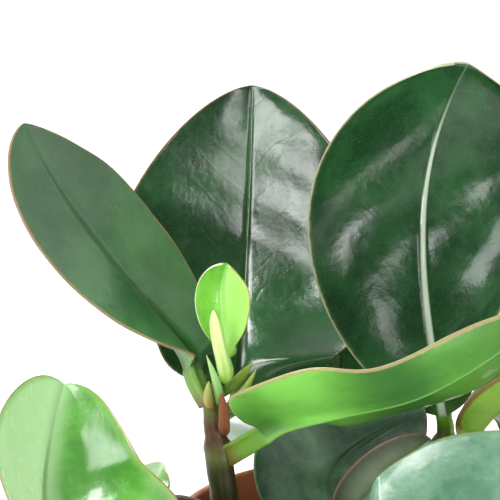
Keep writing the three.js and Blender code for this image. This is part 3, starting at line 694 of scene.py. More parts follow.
def dry_margin(tree, at, base, skin):
    """Soft tint inside the margin, then the dry margin itself, both with a ragged inner edge."""
    ragged = node(tree, "ShaderNodeTexNoise", {
        "Vector": at.solid, "Scale": 1 / 2.5, "Detail": 2, "Roughness": 0.5}).outputs[0]
    if "band" in skin:
        code, reach, strength = skin["band"]
        edge = node(tree, "ShaderNodeMath", {
            0: ragged, 1: -1.2, 2: at.edge}, operation="MULTIPLY_ADD").outputs[0]
        edge = node(tree, "ShaderNodeMapRange", {
            0: edge, 1: -0.2, 2: reach, 3: strength, 4: 0.0}, **EASED).outputs[0]
        edge = node(tree, "ShaderNodeMath", {0: edge, 1: at.blade}, operation="MULTIPLY").outputs[0]
        base = node(tree, "ShaderNodeMix", {0: edge, 6: base, 7: rgba(linear(code))}, **COLOURS).outputs[2]
    (left_code, left_wide), (right_code, right_wide) = skin["margin"]
    right = node(tree, "ShaderNodeMapRange", {0: at.x, 1: -0.5, 2: 0.5}, **EASED).outputs[0]
    dry = node(tree, "ShaderNodeMix", {
        0: right, 6: rgba(linear(left_code)), 7: rgba(linear(right_code))}, **COLOURS).outputs[2]
    wide = node(tree, "ShaderNodeMapRange", {0: right, 3: left_wide, 4: right_wide}).outputs[0]
    edge = node(tree, "ShaderNodeMath", {
        0: ragged, 1: -0.9, 2: at.edge}, operation="MULTIPLY_ADD").outputs[0]
    edge = node(tree, "ShaderNodeMath", {0: edge, 1: wide}, operation="DIVIDE").outputs[0]
    edge = node(tree, "ShaderNodeMapRange", {0: edge, 1: -0.4, 2: 1.0, 3: 0.85, 4: 0.0}, **EASED).outputs[0]
    edge = node(tree, "ShaderNodeMath", {0: edge, 1: at.blade}, operation="MULTIPLY").outputs[0]
    return node(tree, "ShaderNodeMix", {0: edge, 6: base, 7: dry}, **COLOURS).outputs[2]


def worn_wax(tree, at, smooth_wax, worn):
    """Roughness of the wax: streaks along the leaf, 3 mm wide and 20 mm long, and worn patches of 6 mm."""
    streaks = node(tree, "ShaderNodeMapping", {
        "Vector": at.measure, "Scale": (1 / 3, 1 / 20, 0)}).outputs[0]
    streaks = node(tree, "ShaderNodeTexNoise", {
        "Vector": streaks, "Scale": 1, "Detail": 4, "Roughness": 0.65}).outputs[0]
    streaks = node(tree, "ShaderNodeMath", {0: streaks, 1: 0.4}, operation="MULTIPLY").outputs[0]
    patches = node(tree, "ShaderNodeTexNoise", {
        "Vector": at.solid, "Scale": 1 / 6, "Detail": 4, "Roughness": 0.65}).outputs[0]
    wear = node(tree, "ShaderNodeMath", {
        0: patches, 1: 0.6, 2: streaks}, operation="MULTIPLY_ADD").outputs[0]
    rough = node(tree, "ShaderNodeMapRange", {
        0: wear, 1: 0.38, 2: 0.62, 3: smooth_wax, 4: worn}).outputs[0]
    return node(tree, "ShaderNodeMix", {
        0: at.top_side, 2: worn + UNDERSIDE_DULLER, 3: rough}, data_type="FLOAT").outputs[0]


def leaf_relief(tree, at, vein, depth):
    """Sunken veins, shallow dimples of 5 mm and 2 mm, and a grain of 0.6 mm."""
    wide_dimples = node(tree, "ShaderNodeTexNoise", {
        "Vector": at.solid, "Scale": 1 / 5, "Detail": 2, "Roughness": 0.5}).outputs[0]
    fine_dimples = node(tree, "ShaderNodeTexNoise", {
        "Vector": at.solid, "Scale": 1 / 2, "Detail": 2, "Roughness": 0.5}).outputs[0]
    grain = node(tree, "ShaderNodeTexNoise", {
        "Vector": at.solid, "Scale": 1 / 0.6, "Detail": 2, "Roughness": 0.6}).outputs[0]
    relief = node(tree, "ShaderNodeMath", {
        0: fine_dimples, 1: 0.3, 2: wide_dimples}, operation="MULTIPLY_ADD").outputs[0]
    relief = node(tree, "ShaderNodeMath", {
        0: grain, 1: 0.08, 2: relief}, operation="MULTIPLY_ADD").outputs[0]
    relief = node(tree, "ShaderNodeMath", {
        0: vein, 1: -0.08, 2: relief}, operation="MULTIPLY_ADD").outputs[0]
    return node(tree, "ShaderNodeBump", {
        "Strength": 1.0, "Distance": depth * MM, "Height": relief}).outputs[0]


# Fleshy leaf under a thin layer of wax: green in soft clouds, a wet-looking gloss that breaks up in dimples
# and worn streaks, fine pale dots, a sunken midrib, faint slanting veins and a thin dry margin, with painted
# light and shade on some leaves.
def waxy_leaf(name, skin, greens):
    leaves = bpy.context.scene.peperomia_leaves
    material, tree = empty_material(name)
    at = leaf_places(tree)
    base = leaf_greens(tree, at, skin, greens)
    vein = side_veins(tree, at)
    part = node(tree, "ShaderNodeMath", {0: vein, 1: VEIN_TINT}, operation="MULTIPLY").outputs[0]
    base = node(tree, "ShaderNodeMix", {0: part, 6: base, 7: rgba(leaves.petiole)}, **COLOURS).outputs[2]
    base = pale_dots(tree, at, base, skin.get("speck", 0.0))
    base = midrib_tone_or_highlight(tree, at, base, *skin["rib"])
    base = petiole_green(tree, at, base)
    base = dry_margin(tree, at, base, skin)
    shader = node(tree, "ShaderNodeBsdfPrincipled", {
        "Base Color": base,
        "Roughness": worn_wax(tree, at, *skin["gloss"]),
        "IOR": skin.get("ior", 1.5),
        "Specular IOR Level": 0.5,
        "Coat Weight": skin.get("coat", 0.3),
        "Coat Roughness": 0.1,
        "Coat IOR": 1.5,
        "Subsurface Weight": skin.get("glow", 0.0),
        "Subsurface Radius": (0.6, 1.0, 0.25),
        "Subsurface Scale": 1.5 * MM,
        "Normal": leaf_relief(tree, at, vein, skin.get("relief", 0.16)),
    })
    node(tree, "ShaderNodeOutputMaterial", {0: shader.outputs[0]})
    return material


def leaf_skins():
    """Every leaf material, by the name used in SKIN_OF."""
    leaves = bpy.context.scene.peperomia_leaves
    made = {}
    for name, skin in SKINS.items():
        greens = [getattr(leaves, name + ending) for ending in ("_upper", "_light", "_under", "_pale")]
        made[name] = waxy_leaf("waxy_leaf_" + name, skin, greens)
    return made


# Fleshy green stem: smooth, slightly glossy, olive to red-brown, with streaks along it and dry scars
def fleshy_stem(name):
    stems = bpy.context.scene.peperomia_stems
    material, tree = empty_material(name)
    place = node(tree, "ShaderNodeAttribute", attribute_name="stem_mm")
    parts = node(tree, "ShaderNodeSeparateXYZ", {0: place.outputs["Vector"]})
    height, to_node, to_tip = parts.outputs
    coords = node(tree, "ShaderNodeTexCoord")
    streaks = node(tree, "ShaderNodeMapping", {
        "Vector": coords.outputs["Object"], "Scale": (1100, 1100, 120)})
    streaks = node(tree, "ShaderNodeTexNoise", {
        "Vector": streaks.outputs[0], "Scale": 1, "Detail": 3, "Roughness": 0.6})
    up = node(tree, "ShaderNodeMapRange", {0: height, 1: 46.0, 2: 54.0}, **EASED)
    base = node(tree, "ShaderNodeMix", {
        0: up.outputs[0], 6: rgba(stems.low), 7: rgba(stems.middle)}, **COLOURS)
    near = node(tree, "ShaderNodeMapRange", {0: to_node, 1: 0.5, 2: 4.5, 3: 0.5, 4: 0.0}, **EASED)
    base = node(tree, "ShaderNodeMix", {
        0: near.outputs[0], 6: base.outputs[2], 7: rgba(stems.node)}, **COLOURS)
    new = node(tree, "ShaderNodeMapRange", {0: to_tip, 1: 2.0, 2: 14.0, 3: 0.85, 4: 0.0}, **EASED)
    base = node(tree, "ShaderNodeMix", {
        0: new.outputs[0], 6: base.outputs[2], 7: rgba(stems.node)}, **COLOURS)
    patch = node(tree, "ShaderNodeMapRange", {
        0: streaks.outputs["Fac"], 1: 0.4, 2: 0.62, 3: 0.0, 4: 0.3}, **EASED)
    base = node(tree, "ShaderNodeMix", {
        0: patch.outputs[0], 6: base.outputs[2], 7: rgba(stems.scar)}, **COLOURS)
    ring = node(tree, "ShaderNodeMath", {0: to_node, 1: NODE_RING}, operation="SUBTRACT")
    ring = node(tree, "ShaderNodeMath", {0: ring.outputs[0]}, operation="ABSOLUTE")
    ring = node(tree, "ShaderNodeMapRange", {0: ring.outputs[0], 1: 0.1, 2: 0.8, 3: 0.3, 4: 0.0}, **EASED)
    base = node(tree, "ShaderNodeMix", {
        0: ring.outputs[0], 6: base.outputs[2], 7: rgba(stems.scar)}, **COLOURS)
    bump = node(tree, "ShaderNodeBump", {
        "Strength": 1.0, "Distance": 0.15 * MM, "Height": streaks.outputs["Fac"]})
    shader = node(tree, "ShaderNodeBsdfPrincipled", {
        "Base Color": base.outputs[2],
        "Roughness": 0.42,
        "IOR": 1.45,
        "Coat Weight": 0.15,
        "Coat Roughness": 0.3,
        "Subsurface Weight": 0.08,
        "Subsurface Radius": (0.8, 1.0, 0.3),
        "Subsurface Scale": 1.5 * MM,
        "Normal": bump.outputs[0],
    })
    node(tree, "ShaderNodeOutputMaterial", {0: shader.outputs[0]})
    return material


# Tender bud or rolled leaf: nearly even colour, paler to the tip, soft gloss with light inside
def tender_bud(name, low, high, rough):
    material, tree = empty_material(name)
    place = node(tree, "ShaderNodeAttribute", attribute_name="bud_place")
    parts = node(tree, "ShaderNodeSeparateXYZ", {0: place.outputs["Vector"]})
    coords = node(tree, "ShaderNodeTexCoord")
    fibres = node(tree, "ShaderNodeMapping", {
        "Vector": coords.outputs["Object"], "Scale": (2200, 2200, 300)})
    fibres = node(tree, "ShaderNodeTexNoise", {"Vector": fibres.outputs[0], "Scale": 1, "Detail": 3})
    up = node(tree, "ShaderNodeMath", {
        0: fibres.outputs["Fac"], 1: 0.4, 2: parts.outputs[0]}, operation="MULTIPLY_ADD")
    up = node(tree, "ShaderNodeMapRange", {0: up.outputs[0], 1: 0.2, 2: 1.1}, **EASED)
    base = node(tree, "ShaderNodeMix", {0: up.outputs[0], 6: rgba(low), 7: rgba(high)}, **COLOURS)
    bump = node(tree, "ShaderNodeBump", {
        "Strength": 1.0, "Distance": 0.08 * MM, "Height": fibres.outputs["Fac"]})
    shader = node(tree, "ShaderNodeBsdfPrincipled", {
        "Base Color": base.outputs[2],
        "Roughness": rough,
        "IOR": 1.45,
        "Coat Weight": 0.15,
        "Coat Roughness": 0.25,
        "Subsurface Weight": 0.2,
        "Subsurface Radius": (0.8, 1.0, 0.4),
        "Subsurface Scale": 1.0 * MM,
        "Normal": bump.outputs[0],
    })
    node(tree, "ShaderNodeOutputMaterial", {0: shader.outputs[0]})
    return material


# Injection-moulded polypropylene in terracotta colour: even and satin, fine matt grain, faint flow marks
def moulded_plastic(name):
    pot = bpy.context.scene.peperomia_pot
    material, tree = empty_material(name)
    coords = node(tree, "ShaderNodeTexCoord")
    flow = node(tree, "ShaderNodeMapping", {"Vector": coords.outputs["Object"], "Scale": (60, 60, 18)})
    flow = node(tree, "ShaderNodeTexNoise", {
        "Vector": flow.outputs[0], "Scale": 1, "Detail": 3, "Roughness": 0.5})
    part = node(tree, "ShaderNodeMapRange", {0: flow.outputs["Fac"], 1: 0.35, 2: 0.7}, **EASED)
    base = node(tree, "ShaderNodeMix", {
        0: part.outputs[0], 6: rgba(pot.terracotta), 7: rgba(pot.terracotta_dark)}, **COLOURS)
    speck = node(tree, "ShaderNodeTexNoise", {
        "Vector": coords.outputs["Object"], "Scale": 1500, "Detail": 2})
    dust = node(tree, "ShaderNodeMapRange", {0: speck.outputs["Fac"], 1: 0.6, 2: 0.75, 3: 0.0, 4: 0.25})
    base = node(tree, "ShaderNodeMix", {
        0: dust.outputs[0], 6: base.outputs[2], 7: rgba(linear("c98a64"))}, **COLOURS)
    rough = node(tree, "ShaderNodeMapRange", {0: flow.outputs["Fac"], 1: 0.3, 2: 0.7, 3: 0.42, 4: 0.56})
    bump = node(tree, "ShaderNodeBump", {
        "Strength": 1.0, "Distance": 0.03 * MM, "Height": speck.outputs["Fac"]})
    shader = node(tree, "ShaderNodeBsdfPrincipled", {
        "Base Color": base.outputs[2],
        "Roughness": rough.outputs[0],
        "IOR": 1.49,
        "Normal": bump.outputs[0],
    })
    node(tree, "ShaderNodeOutputMaterial", {0: shader.outputs[0]})
    return material


# Moist peat with bark and perlite: nearly black-brown, matt and rough, with pale fibres and white grains
def potting_peat(name):
    soil = bpy.context.scene.peperomia_soil
    material, tree = empty_material(name)
    kind = node(tree, "ShaderNodeAttribute", attribute_name="crumb")
    parts = node(tree, "ShaderNodeSeparateXYZ", {0: kind.outputs["Vector"]})
    tone, white = parts.outputs[0], parts.outputs[1]
    coords = node(tree, "ShaderNodeTexCoord")
    clods = node(tree, "ShaderNodeTexNoise", {
        "Vector": coords.outputs["Object"], "Scale": 320, "Detail": 6, "Roughness": 0.7})
    part = node(tree, "ShaderNodeMath", {
        0: clods.outputs["Fac"], 1: 0.9, 2: tone}, operation="MULTIPLY_ADD")
    part = node(tree, "ShaderNodeMapRange", {0: part.outputs[0], 1: 0.45, 2: 1.5}, **EASED)
    base = node(tree, "ShaderNodeMix", {
        0: part.outputs[0], 6: rgba(soil.peat), 7: rgba(soil.bark)}, **COLOURS)
    base = node(tree, "ShaderNodeMix", {0: white, 6: base.outputs[2], 7: rgba(linear("d8d2c6"))}, **COLOURS)
    grit = node(tree, "ShaderNodeTexNoise", {
        "Vector": coords.outputs["Object"], "Scale": 1400, "Detail": 4, "Roughness": 0.7})
    bump = node(tree, "ShaderNodeBump", {
        "Strength": 1.0, "Distance": 0.5 * MM, "Height": grit.outputs["Fac"]})
    shader = node(tree, "ShaderNodeBsdfPrincipled", {
        "Base Color": base.outputs[2],
        "Roughness": 0.92,
        "IOR": 1.4,
        "Normal": bump.outputs[0],
    })
    node(tree, "ShaderNodeOutputMaterial", {0: shader.outputs[0]})
    return material


# Matt white studio board
def studio_board(name):
    material, tree = empty_material(name)
    coords = node(tree, "ShaderNodeTexCoord")
    mottle = node(tree, "ShaderNodeTexNoise", {"Vector": coords.outputs["Object"], "Scale": 3, "Detail": 2})
    tone = node(tree, "ShaderNodeMapRange", {0: mottle.outputs["Fac"], 3: 0.0, 4: 0.04})
    floor = bpy.context.scene.peperomia_stage.floor
    base = node(tree, "ShaderNodeMix", {
        0: tone.outputs[0], 6: rgba(floor), 7: rgba(linear("e6e6e2"))}, **COLOURS)
    shader = node(tree, "ShaderNodeBsdfPrincipled", {"Base Color": base.outputs[2], "Roughness": 0.9})
    node(tree, "ShaderNodeOutputMaterial", {0: shader.outputs[0]})
    return material


def column(values):
    return np.asarray(values, float)[:, None]


def leaf_line(spec, rows, petiole_rows):
    """Rows along petiole and midrib: their places, parts of the length, and three directions."""
    points = [np.array(spec[key], float) for key in ("root", "neck", "lift", "reach", "tip")]
    root, neck, lift = points[:3]
    hold = np.linalg.norm(neck - root)
    near_knee = neck - unit(lift - neck) * KNEE * hold
    far_knee = root + unit(near_knee - root) * KNEE * hold
    stalk = np.arange(petiole_rows) / petiole_rows
    stalk_place, stalk_way = cubic((root, far_knee, near_knee, neck), stalk)
    row = np.arange(rows + 1) / rows
    blade = np.minimum(0.45 * row + 0.55 * row * row * (3 - 2 * row), LAST_ROW)
    blade_place, blade_way = cubic(points[1:], blade)
    centre = np.vstack([stalk_place, blade_place])
    way = np.vstack([stalk_way, blade_way])
    along = np.concatenate([stalk - 1, blade])
    middle = petiole_rows + rows // 2
    normal = carry(way, spec["face"], middle)
    if "curl" in spec:
        far = column(np.clip((along - CURL_START) / (1 - CURL_START), 0, 1))
        centre = centre - normal * (spec["curl"] * far ** 2) - way * (0.55 * spec["curl"] * far ** 3)
        way = unit(np.gradient(centre, axis=0))
        normal = carry(way, spec["face"], middle)
    flat = np.cross(way, normal)
    turn = column(np.radians(spec.get("twist", 0)) * (np.clip(along, 0, 1) - 0.5))
    face = normal * np.cos(turn) + flat * np.sin(turn)
    side = flat * np.cos(turn) - normal * np.sin(turn)
    return centre, along, way, face, side


def leaf_half_width(spec, along, taper):
    """Half the width of petiole and blade at each row."""
    widest, tip_power = spec["widest"], spec["round"]
    foot_power = tip_power * widest / (1 - widest)
    peak = widest ** foot_power * (1 - widest) ** tip_power
    stalk = PETIOLE_HALF * spec.get("stout", 1) * (1 + 0.3 * np.clip(-along * 2 - 1, 0, 1) ** 2)
    blade = spec["width"] / 2 * taper ** foot_power * (1 - taper) ** tip_power / peak
    return np.where(along <= 0, stalk, np.hypot(blade, stalk * (1 - taper) ** 6))


def places_across(half, stout):
    """Places across each row, from -1 to 1, close together at the midrib and at the margins."""
    steps = np.array(RIB_STEPS) * stout ** 0.5
    squeeze = np.minimum(1, 0.5 * half / steps[-1])
    inner = steps[None, :] * column(squeeze / half)
    outer = np.sin(np.arange(1, OUTER_STEPS + 1) / OUTER_STEPS * math.pi / 2)
    outer = inner[:, -1:] + (1 - inner[:, -1:]) * outer[None, :]
    part = np.hstack([inner, outer])
    return np.hstack([-part[:, :0:-1], part])


def slow_swells(x, walked, seed):
    """Height of the swells that a blade lies in, which run across it in chance directions."""
    draw = np.random.default_rng(seed)
    swell = np.zeros_like(x)
    for size, height in SWELLS:
        for _ in range(2):
            heading, phase = draw.uniform(0, 2 * math.pi, 2)
            reach = x * math.cos(heading) + walked * math.sin(heading)
            swell += height * np.sin(2 * math.pi * reach / size + phase)
    return swell


def both_sides(above, below):
    """Values of the upper side, then those of the underside without its two margins."""
    return np.vstack([above.reshape(-1, 3), below[:, 1:-1].reshape(-1, 3)])


def leaf_faces(count, columns):
    """Faces of a closed leaf whose two sides share their margins."""
    up = np.arange(count * columns).reshape(count, columns)
    down = up.copy()
    down[:, 1:-1] = count * columns + np.arange(count * (columns - 2)).reshape(count, columns - 2)
    faces = []
    for i in range(count - 1):
        for j in range(columns - 1):
            faces.append((up[i, j], up[i, j + 1], up[i + 1, j + 1], up[i + 1, j]))
            faces.append((down[i, j], down[i + 1, j], down[i + 1, j + 1], down[i, j + 1]))
    faces.append(tuple(up[0, ::-1]) + tuple(down[0, 1:-1]))
    faces.append(tuple(up[-1]) + tuple(down[-1, -2:0:-1]))
    return [tuple(int(k) for k in face) for face in faces]


def leaf_form(spec, rows, petiole_rows, seed):
    """Points, faces and leaf places of one leaf with its petiole."""
    centre, along, way, face, side = leaf_line(spec, rows, petiole_rows)
    taper = np.clip(along, 1e-9, 1)
    stout = spec.get("stout", 1)
    half = leaf_half_width(spec, along, taper)
    signed = places_across(half, stout)
    out = np.abs(signed)
    walked = np.concatenate([[0], np.cumsum(np.linalg.norm(np.diff(centre, axis=0), axis=1))])
    walked = column(walked - walked[petiole_rows])
    half, along, taper = column(half), column(along), column(taper)

    # Folded along the midrib, cupped as an arc to each side, waved at the margins and slowly swelling
    ease = smooth(0, BLADE_FOOT, along)
    gather = np.where(along > 0, FOOT_FOLD * (1 - taper) ** 5, 0)
    fold = np.radians(spec["fold"][0] + (spec["fold"][1] - spec["fold"][0]) * taper + gather) * ease
    cup = np.radians(spec["cup"][0] + (spec["cup"][1] - spec["cup"][0]) * taper) * ease + 1e-6
    x = np.sign(signed) * half * (np.sin(fold + cup * out) - np.sin(fold)) / cup
    z = half * (np.cos(fold) - np.cos(fold + cup * out)) / cup
    shift = spec.get("phase", 0) + np.where(signed > 0, WAVE_SHIFT, 0)
    wave = np.sin(2 * math.pi * (spec.get("waves", 1.5) * along + shift))
    z = z + spec.get("wave", 0) * ease * out ** 2 * wave
    swell = slow_swells(x, walked, seed) * min(1, spec["width"] / SWELL_FULL_WIDTH)
    z = z + swell * ease * (0.5 + 0.2 * out)

    # Two sides that meet in a rounded margin, with the keel of the midrib below and its groove above
    edge = half * (1 - out)
    rim = np.sqrt(np.clip(1 - (1 - np.minimum(edge, MARGIN_ROUND) / MARGIN_ROUND) ** 2, 0, 1))
    thick = MIDDLE_THICK * (1 - out * out)
    rib = np.where(along <= 0, 1, 0.9 * (1 - taper) ** 2.2 + 0.1 * (1 - taper))
    keel = RIB_DEPTH * stout * rib * np.exp(-(x / RIB_WIDTH) ** 2)
    groove_half = 0.35 + 0.75 * (1 - taper)
    groove = GROOVE_DEPTH * stout * (1 - taper) ** 0.5 * np.exp(-(x / groove_half) ** 2)
    above = z + rim * (EDGE_THICK / 2 + thick / 2) - groove * rim
    below = z - rim * (EDGE_THICK / 2 + thick + keel)

    # A lobe at the foot of the blade reaches back beside the petiole
    back = spec.get("lobe", 0) * ease * out ** 2 * (1 - taper) ** 4
    flat_place = centre[:, None, :] + side[:, None, :] * x[:, :, None] - way[:, None, :] * back[:, :, None]
    top = flat_place + face[:, None, :] * above[:, :, None]
    bottom = flat_place + face[:, None, :] * below[:, :, None]
    along = np.broadcast_to(along, x.shape)
    measure = np.stack([x, np.broadcast_to(walked, x.shape), edge], -1)
    marks = {
        "leaf_place": both_sides(
            np.stack([along, out, np.ones_like(x)], -1), np.stack([along, out, np.zeros_like(x)], -1)),
        "leaf_mm": both_sides(measure, measure),
    }
    return both_sides(top, bottom), leaf_faces(*x.shape), marks


def through(points, step):
    """A smooth line through points with radii, in steps of the given length."""
    points = np.array(points, float)
    gaps = np.linalg.norm(np.diff(points[:, :3], axis=0), axis=1)
    at = np.concatenate([[0], np.cumsum(gaps)])
    slope = np.gradient(points[:, :3], at, axis=0)
    count = max(4, int(at[-1] / step))
    walked = np.linspace(0, at[-1], count + 1)
    k = np.clip(np.searchsorted(at, walked, side="right") - 1, 0, len(gaps) - 1)
    h = gaps[k][:, None]
    s = ((walked - at[k]) / gaps[k])[:, None]
    line = ((2 * s ** 3 - 3 * s ** 2 + 1) * points[k, :3] + (s ** 3 - 2 * s ** 2 + s) * h * slope[k]
            + (3 * s ** 2 - 2 * s ** 3) * points[k + 1, :3] + (s ** 3 - s ** 2) * h * slope[k + 1])
    ease = (s * s * (3 - 2 * s))[:, 0]
    radius = points[k, 3] * (1 - ease) + points[k + 1, 3] * ease
    return line, radius, walked


def rings_to_faces(count, sides):
    faces = []
    for i in range(count - 1):
        for k in range(sides):
            n = (k + 1) % sides
            faces.append((i * sides + k, i * sides + n, (i + 1) * sides + n, (i + 1) * sides + k))
    faces.append(tuple(range(sides - 1, -1, -1)))
    faces.append(tuple(range((count - 1) * sides, count * sides)))
    return faces


def ring_points(line, way, normal, radius, sides):
    """Rings round a line, with a radius for each point of each ring."""
    turn = 2 * math.pi * np.arange(sides) / sides
    across = np.cross(way, normal)
    return (line[:, None, :] + normal[:, None, :] * (radius * np.cos(turn))[:, :, None]
            + across[:, None, :] * (radius * np.sin(turn))[:, :, None])


def stem_form(points, roots, sides, seed):
    """Points, faces and places of one stem, with a swollen ring at each leaf."""
    line, radius, walked = through(points, STEM_STEP)
    way = unit(np.gradient(line, axis=0))
    draw = np.random.default_rng(seed)
    to_node = np.full(len(line), FAR_FROM_NODE)
    for root in roots:
        gaps = np.linalg.norm(line - np.array(root, float), axis=1)
        if gaps.min() < NODE_REACH:
            to_node = np.minimum(to_node, np.abs(walked - walked[gaps.argmin()]))
    radius = radius * (1 + NODE_SWELL * np.exp(-((to_node - NODE_RING) / 0.7) ** 2))
    turn = 2 * math.pi * np.arange(sides) / sides
    ribs = np.zeros((len(line), sides))
    for count in (3, 5, 8):
        ribs += STEM_RIB * np.sin(count * turn[None, :] + draw.uniform(0, 6.3) + 0.05 * column(walked))
    ribs += STEM_RIB * np.sin(0.9 * column(walked) + 2 * turn[None, :] + draw.uniform(0, 6.3))
    radius = column(radius) * (1 + ribs)
    up = column(np.arange(1, DOME_RINGS + 1) / DOME_SPAN)
    dome = np.sqrt(np.clip(1 - up ** 2, 0, 1))
    cap = up * radius[-1].mean()
    line = np.vstack([line, line[-1] + way[-1] * cap])
    way = np.vstack([way, np.repeat(way[-1:], DOME_RINGS, axis=0)])
    radius = np.vstack([radius, radius[-1] * dome])
    walked = np.concatenate([walked, walked[-1] + cap[:, 0]])
    to_node = np.concatenate([to_node, np.repeat(to_node[-1], DOME_RINGS)])
    normal = carry(way, (0, 1, 0), 0)
    rings = ring_points(line, way, normal, radius, sides)
    place = np.stack([walked, to_node, walked[-1] - walked], -1)
    place = np.repeat(place[:, None, :], sides, axis=1)
    return rings.reshape(-1, 3), rings_to_faces(len(line), sides), {"stem_mm": place.reshape(-1, 3)}


def bud_form(spec, sides, seam):
    """Points, faces and places of a spindle with a shallow seam where the leaf is rolled."""
    u = np.linspace(0, 1, 41)
    line, way = cubic(spec["line"], u)
    normal = carry(way, (0, -1, 0), 0)
    far = np.clip((u - 0.35) / 0.65, 0, 1)
    foot = 0.6 + 0.4 * smooth(0, 0.35, u)
    swell = foot * (1 - spec["taper"] * far) * (1 - 0.93 * far ** spec["blunt"])
    turn = 2 * math.pi * np.arange(sides) / sides
    radius = spec["radius"] * column(swell) * np.ones(sides)[None, :]
    lap = np.angle(np.exp(1j * (turn[None, :] - 0.5 - 0.5 * column(u))))
    sunken = seam * np.exp(-(lap / 0.22) ** 2)
    raised = 0.4 * seam * np.exp(-((lap - 0.45) / 0.3) ** 2)
    radius = radius * (1 - sunken + raised)
    across = np.cross(way, normal)
    rings = (line[:, None, :] + normal[:, None, :] * (spec["flat"] * radius * np.cos(turn))[:, :, None]
             + across[:, None, :] * (radius * np.sin(turn))[:, :, None])
    along = np.broadcast_to(column(u), lap.shape)
    around = np.broadcast_to(turn[None, :], lap.shape)
    place = np.stack([along, around, np.exp(-(lap / 0.3) ** 2)], -1)
    return rings.reshape(-1, 3), rings_to_faces(len(u), sides), {"bud_place": place.reshape(-1, 3)}


def outer_radius(z, pot):
    slope = (pot["rim"] - COLLAR_STEP - pot["base"]) / pot["height"]
    return pot["base"] + slope * z + (COLLAR_STEP if z > pot["height"] - COLLAR_HEIGHT else 0)


def inner_radius(z, pot):
    slope = (pot["rim"] - COLLAR_STEP - pot["base"]) / pot["height"]
    return pot["base"] + slope * z - WALL + (COLLAR_STEP if z > pot["height"] - COLLAR_HEIGHT + 2 else 0)


def pot_sizes():
    settings = bpy.context.scene.peperomia_pot
    return {
        "height": settings.height / MM,
        "rim": settings.rim_radius / MM,
        "base": settings.base_radius / MM,
        "sides": settings.sides,
    }


def rounded(corners, steps=5):
    """A profile with an arc in place of each corner; a corner is radius, height and size of its arc."""
    out = []
    for i, (r, z, size) in enumerate(corners):
        if size == 0 or i in (0, len(corners) - 1):
            out.append((r, z))
            continue
        here = np.array((r, z), float)
        before = np.array(corners[i - 1][:2], float)
        after = np.array(corners[i + 1][:2], float)
        start = here + unit(before - here) * min(size, 0.45 * np.linalg.norm(before - here))
        end = here + unit(after - here) * min(size, 0.45 * np.linalg.norm(after - here))
        for k in range(steps + 1):
            t = k / steps
            out.append(tuple((1 - t) ** 2 * start + 2 * t * (1 - t) * here + t * t * end))
    return out


def turned(profile, sides):
    """Points and faces of a profile turned about Z, with its two ends on the axis."""
    turn = 2 * math.pi * np.arange(sides) / sides
    vertices = [(0, 0, profile[0][1])]
    for r, z in profile[1:-1]:
        vertices += [(r * math.cos(a), r * math.sin(a), z) for a in turn]
    vertices.append((0, 0, profile[-1][1]))
    last = len(vertices) - 1
    faces = []
    for k in range(sides):
        n = (k + 1) % sides
        faces.append((0, 1 + n, 1 + k))
        for i in range(len(profile) - 3):
            low, high = 1 + i * sides, 1 + (i + 1) * sides
            faces.append((low + k, low + n, high + n, high + k))
        top = 1 + (len(profile) - 3) * sides
        faces.append((top + k, top + n, last))
    return vertices, faces


def bored(body, radius, height, places):
    """Cut round holes through a piece, each a cutter taken away once the cut is in the mesh."""
    for x, y in places:
        vertices, faces = turned([(0, -2), (radius, -2), (radius, height), (0, height)], 32)
        mesh = bpy.data.meshes.new("drill")
        mesh.from_pydata([((x + px) * MM, (y + py) * MM, pz * MM) for px, py, pz in vertices], [], faces)
        drill = bpy.data.objects.new("drill", mesh)
        bpy.context.scene.collection.objects.link(drill)
        cut = body.modifiers.new("hole", "BOOLEAN")
        cut.object, cut.operation, cut.solver = drill, "DIFFERENCE", "EXACT"
        bpy.context.view_layer.update()
        done = bpy.data.meshes.new_from_object(body.evaluated_get(bpy.context.evaluated_depsgraph_get()))
        body.modifiers.remove(cut)
        old, body.data = body.data, done
        bpy.data.meshes.remove(old)
        bpy.data.objects.remove(drill)
        bpy.data.meshes.remove(mesh)
    body.data.set_sharp_from_angle(angle=math.radians(SHARP_DEGREES))


class PEPEROMIA_OT_pot(Operator):
    """Make the tapered pot with its collar, rolled rim and drain holes"""
    bl_idname = "peperomia.pot"
    bl_label = "Pot"

    def execute(self, context):
        pot = pot_sizes()
        foot = pot["height"] - COLLAR_HEIGHT
        rim = pot["rim"]
        profile = rounded([
            (0, 0, 0),
            (pot["base"], 0, 1.2),
            (outer_radius(foot, pot), foot, 0.5),
            (outer_radius(foot, pot) + COLLAR_STEP, foot + 0.6, 0.5),
            (rim, pot["height"], 1.1),
            (rim - RIM_LIP, pot["height"], 1.1),
            (inner_radius(foot + 3, pot), foot + 3, 0.5),
            (inner_radius(foot, pot), foot, 0.5),
            (inner_radius(FLOOR, pot), FLOOR, 1.5),
            (0, FLOOR, 0),
        ])
        vertices, faces = turned(profile, pot["sides"])
        plastic = moulded_plastic("terracotta_polypropylene_moulded")
        body = piece(
            "pot_moulded", vertices, faces, plastic, ["pot"], sharp=SHARP_DEGREES)
        turns = [2 * math.pi * i / DRAIN_COUNT for i in range(DRAIN_COUNT)]
        holes = [(DRAIN_RING * math.cos(turn), DRAIN_RING * math.sin(turn)) for turn in turns]
        bored(body, DRAIN_RADIUS, FLOOR + 2, holes)
        return {"FINISHED"}


def soil_height(x, y, top_radius):
    r = np.hypot(x, y) / top_radius
    bumps = np.sin(0.31 * x + 1.1) * np.cos(0.27 * y - 0.4) + 0.6 * np.sin(0.53 * x - 0.47 * y)
    return SOIL_TOP + SOIL_MOUND * (1 - r * r) + SOIL_ROUGH * bumps * (1 - r ** 4)


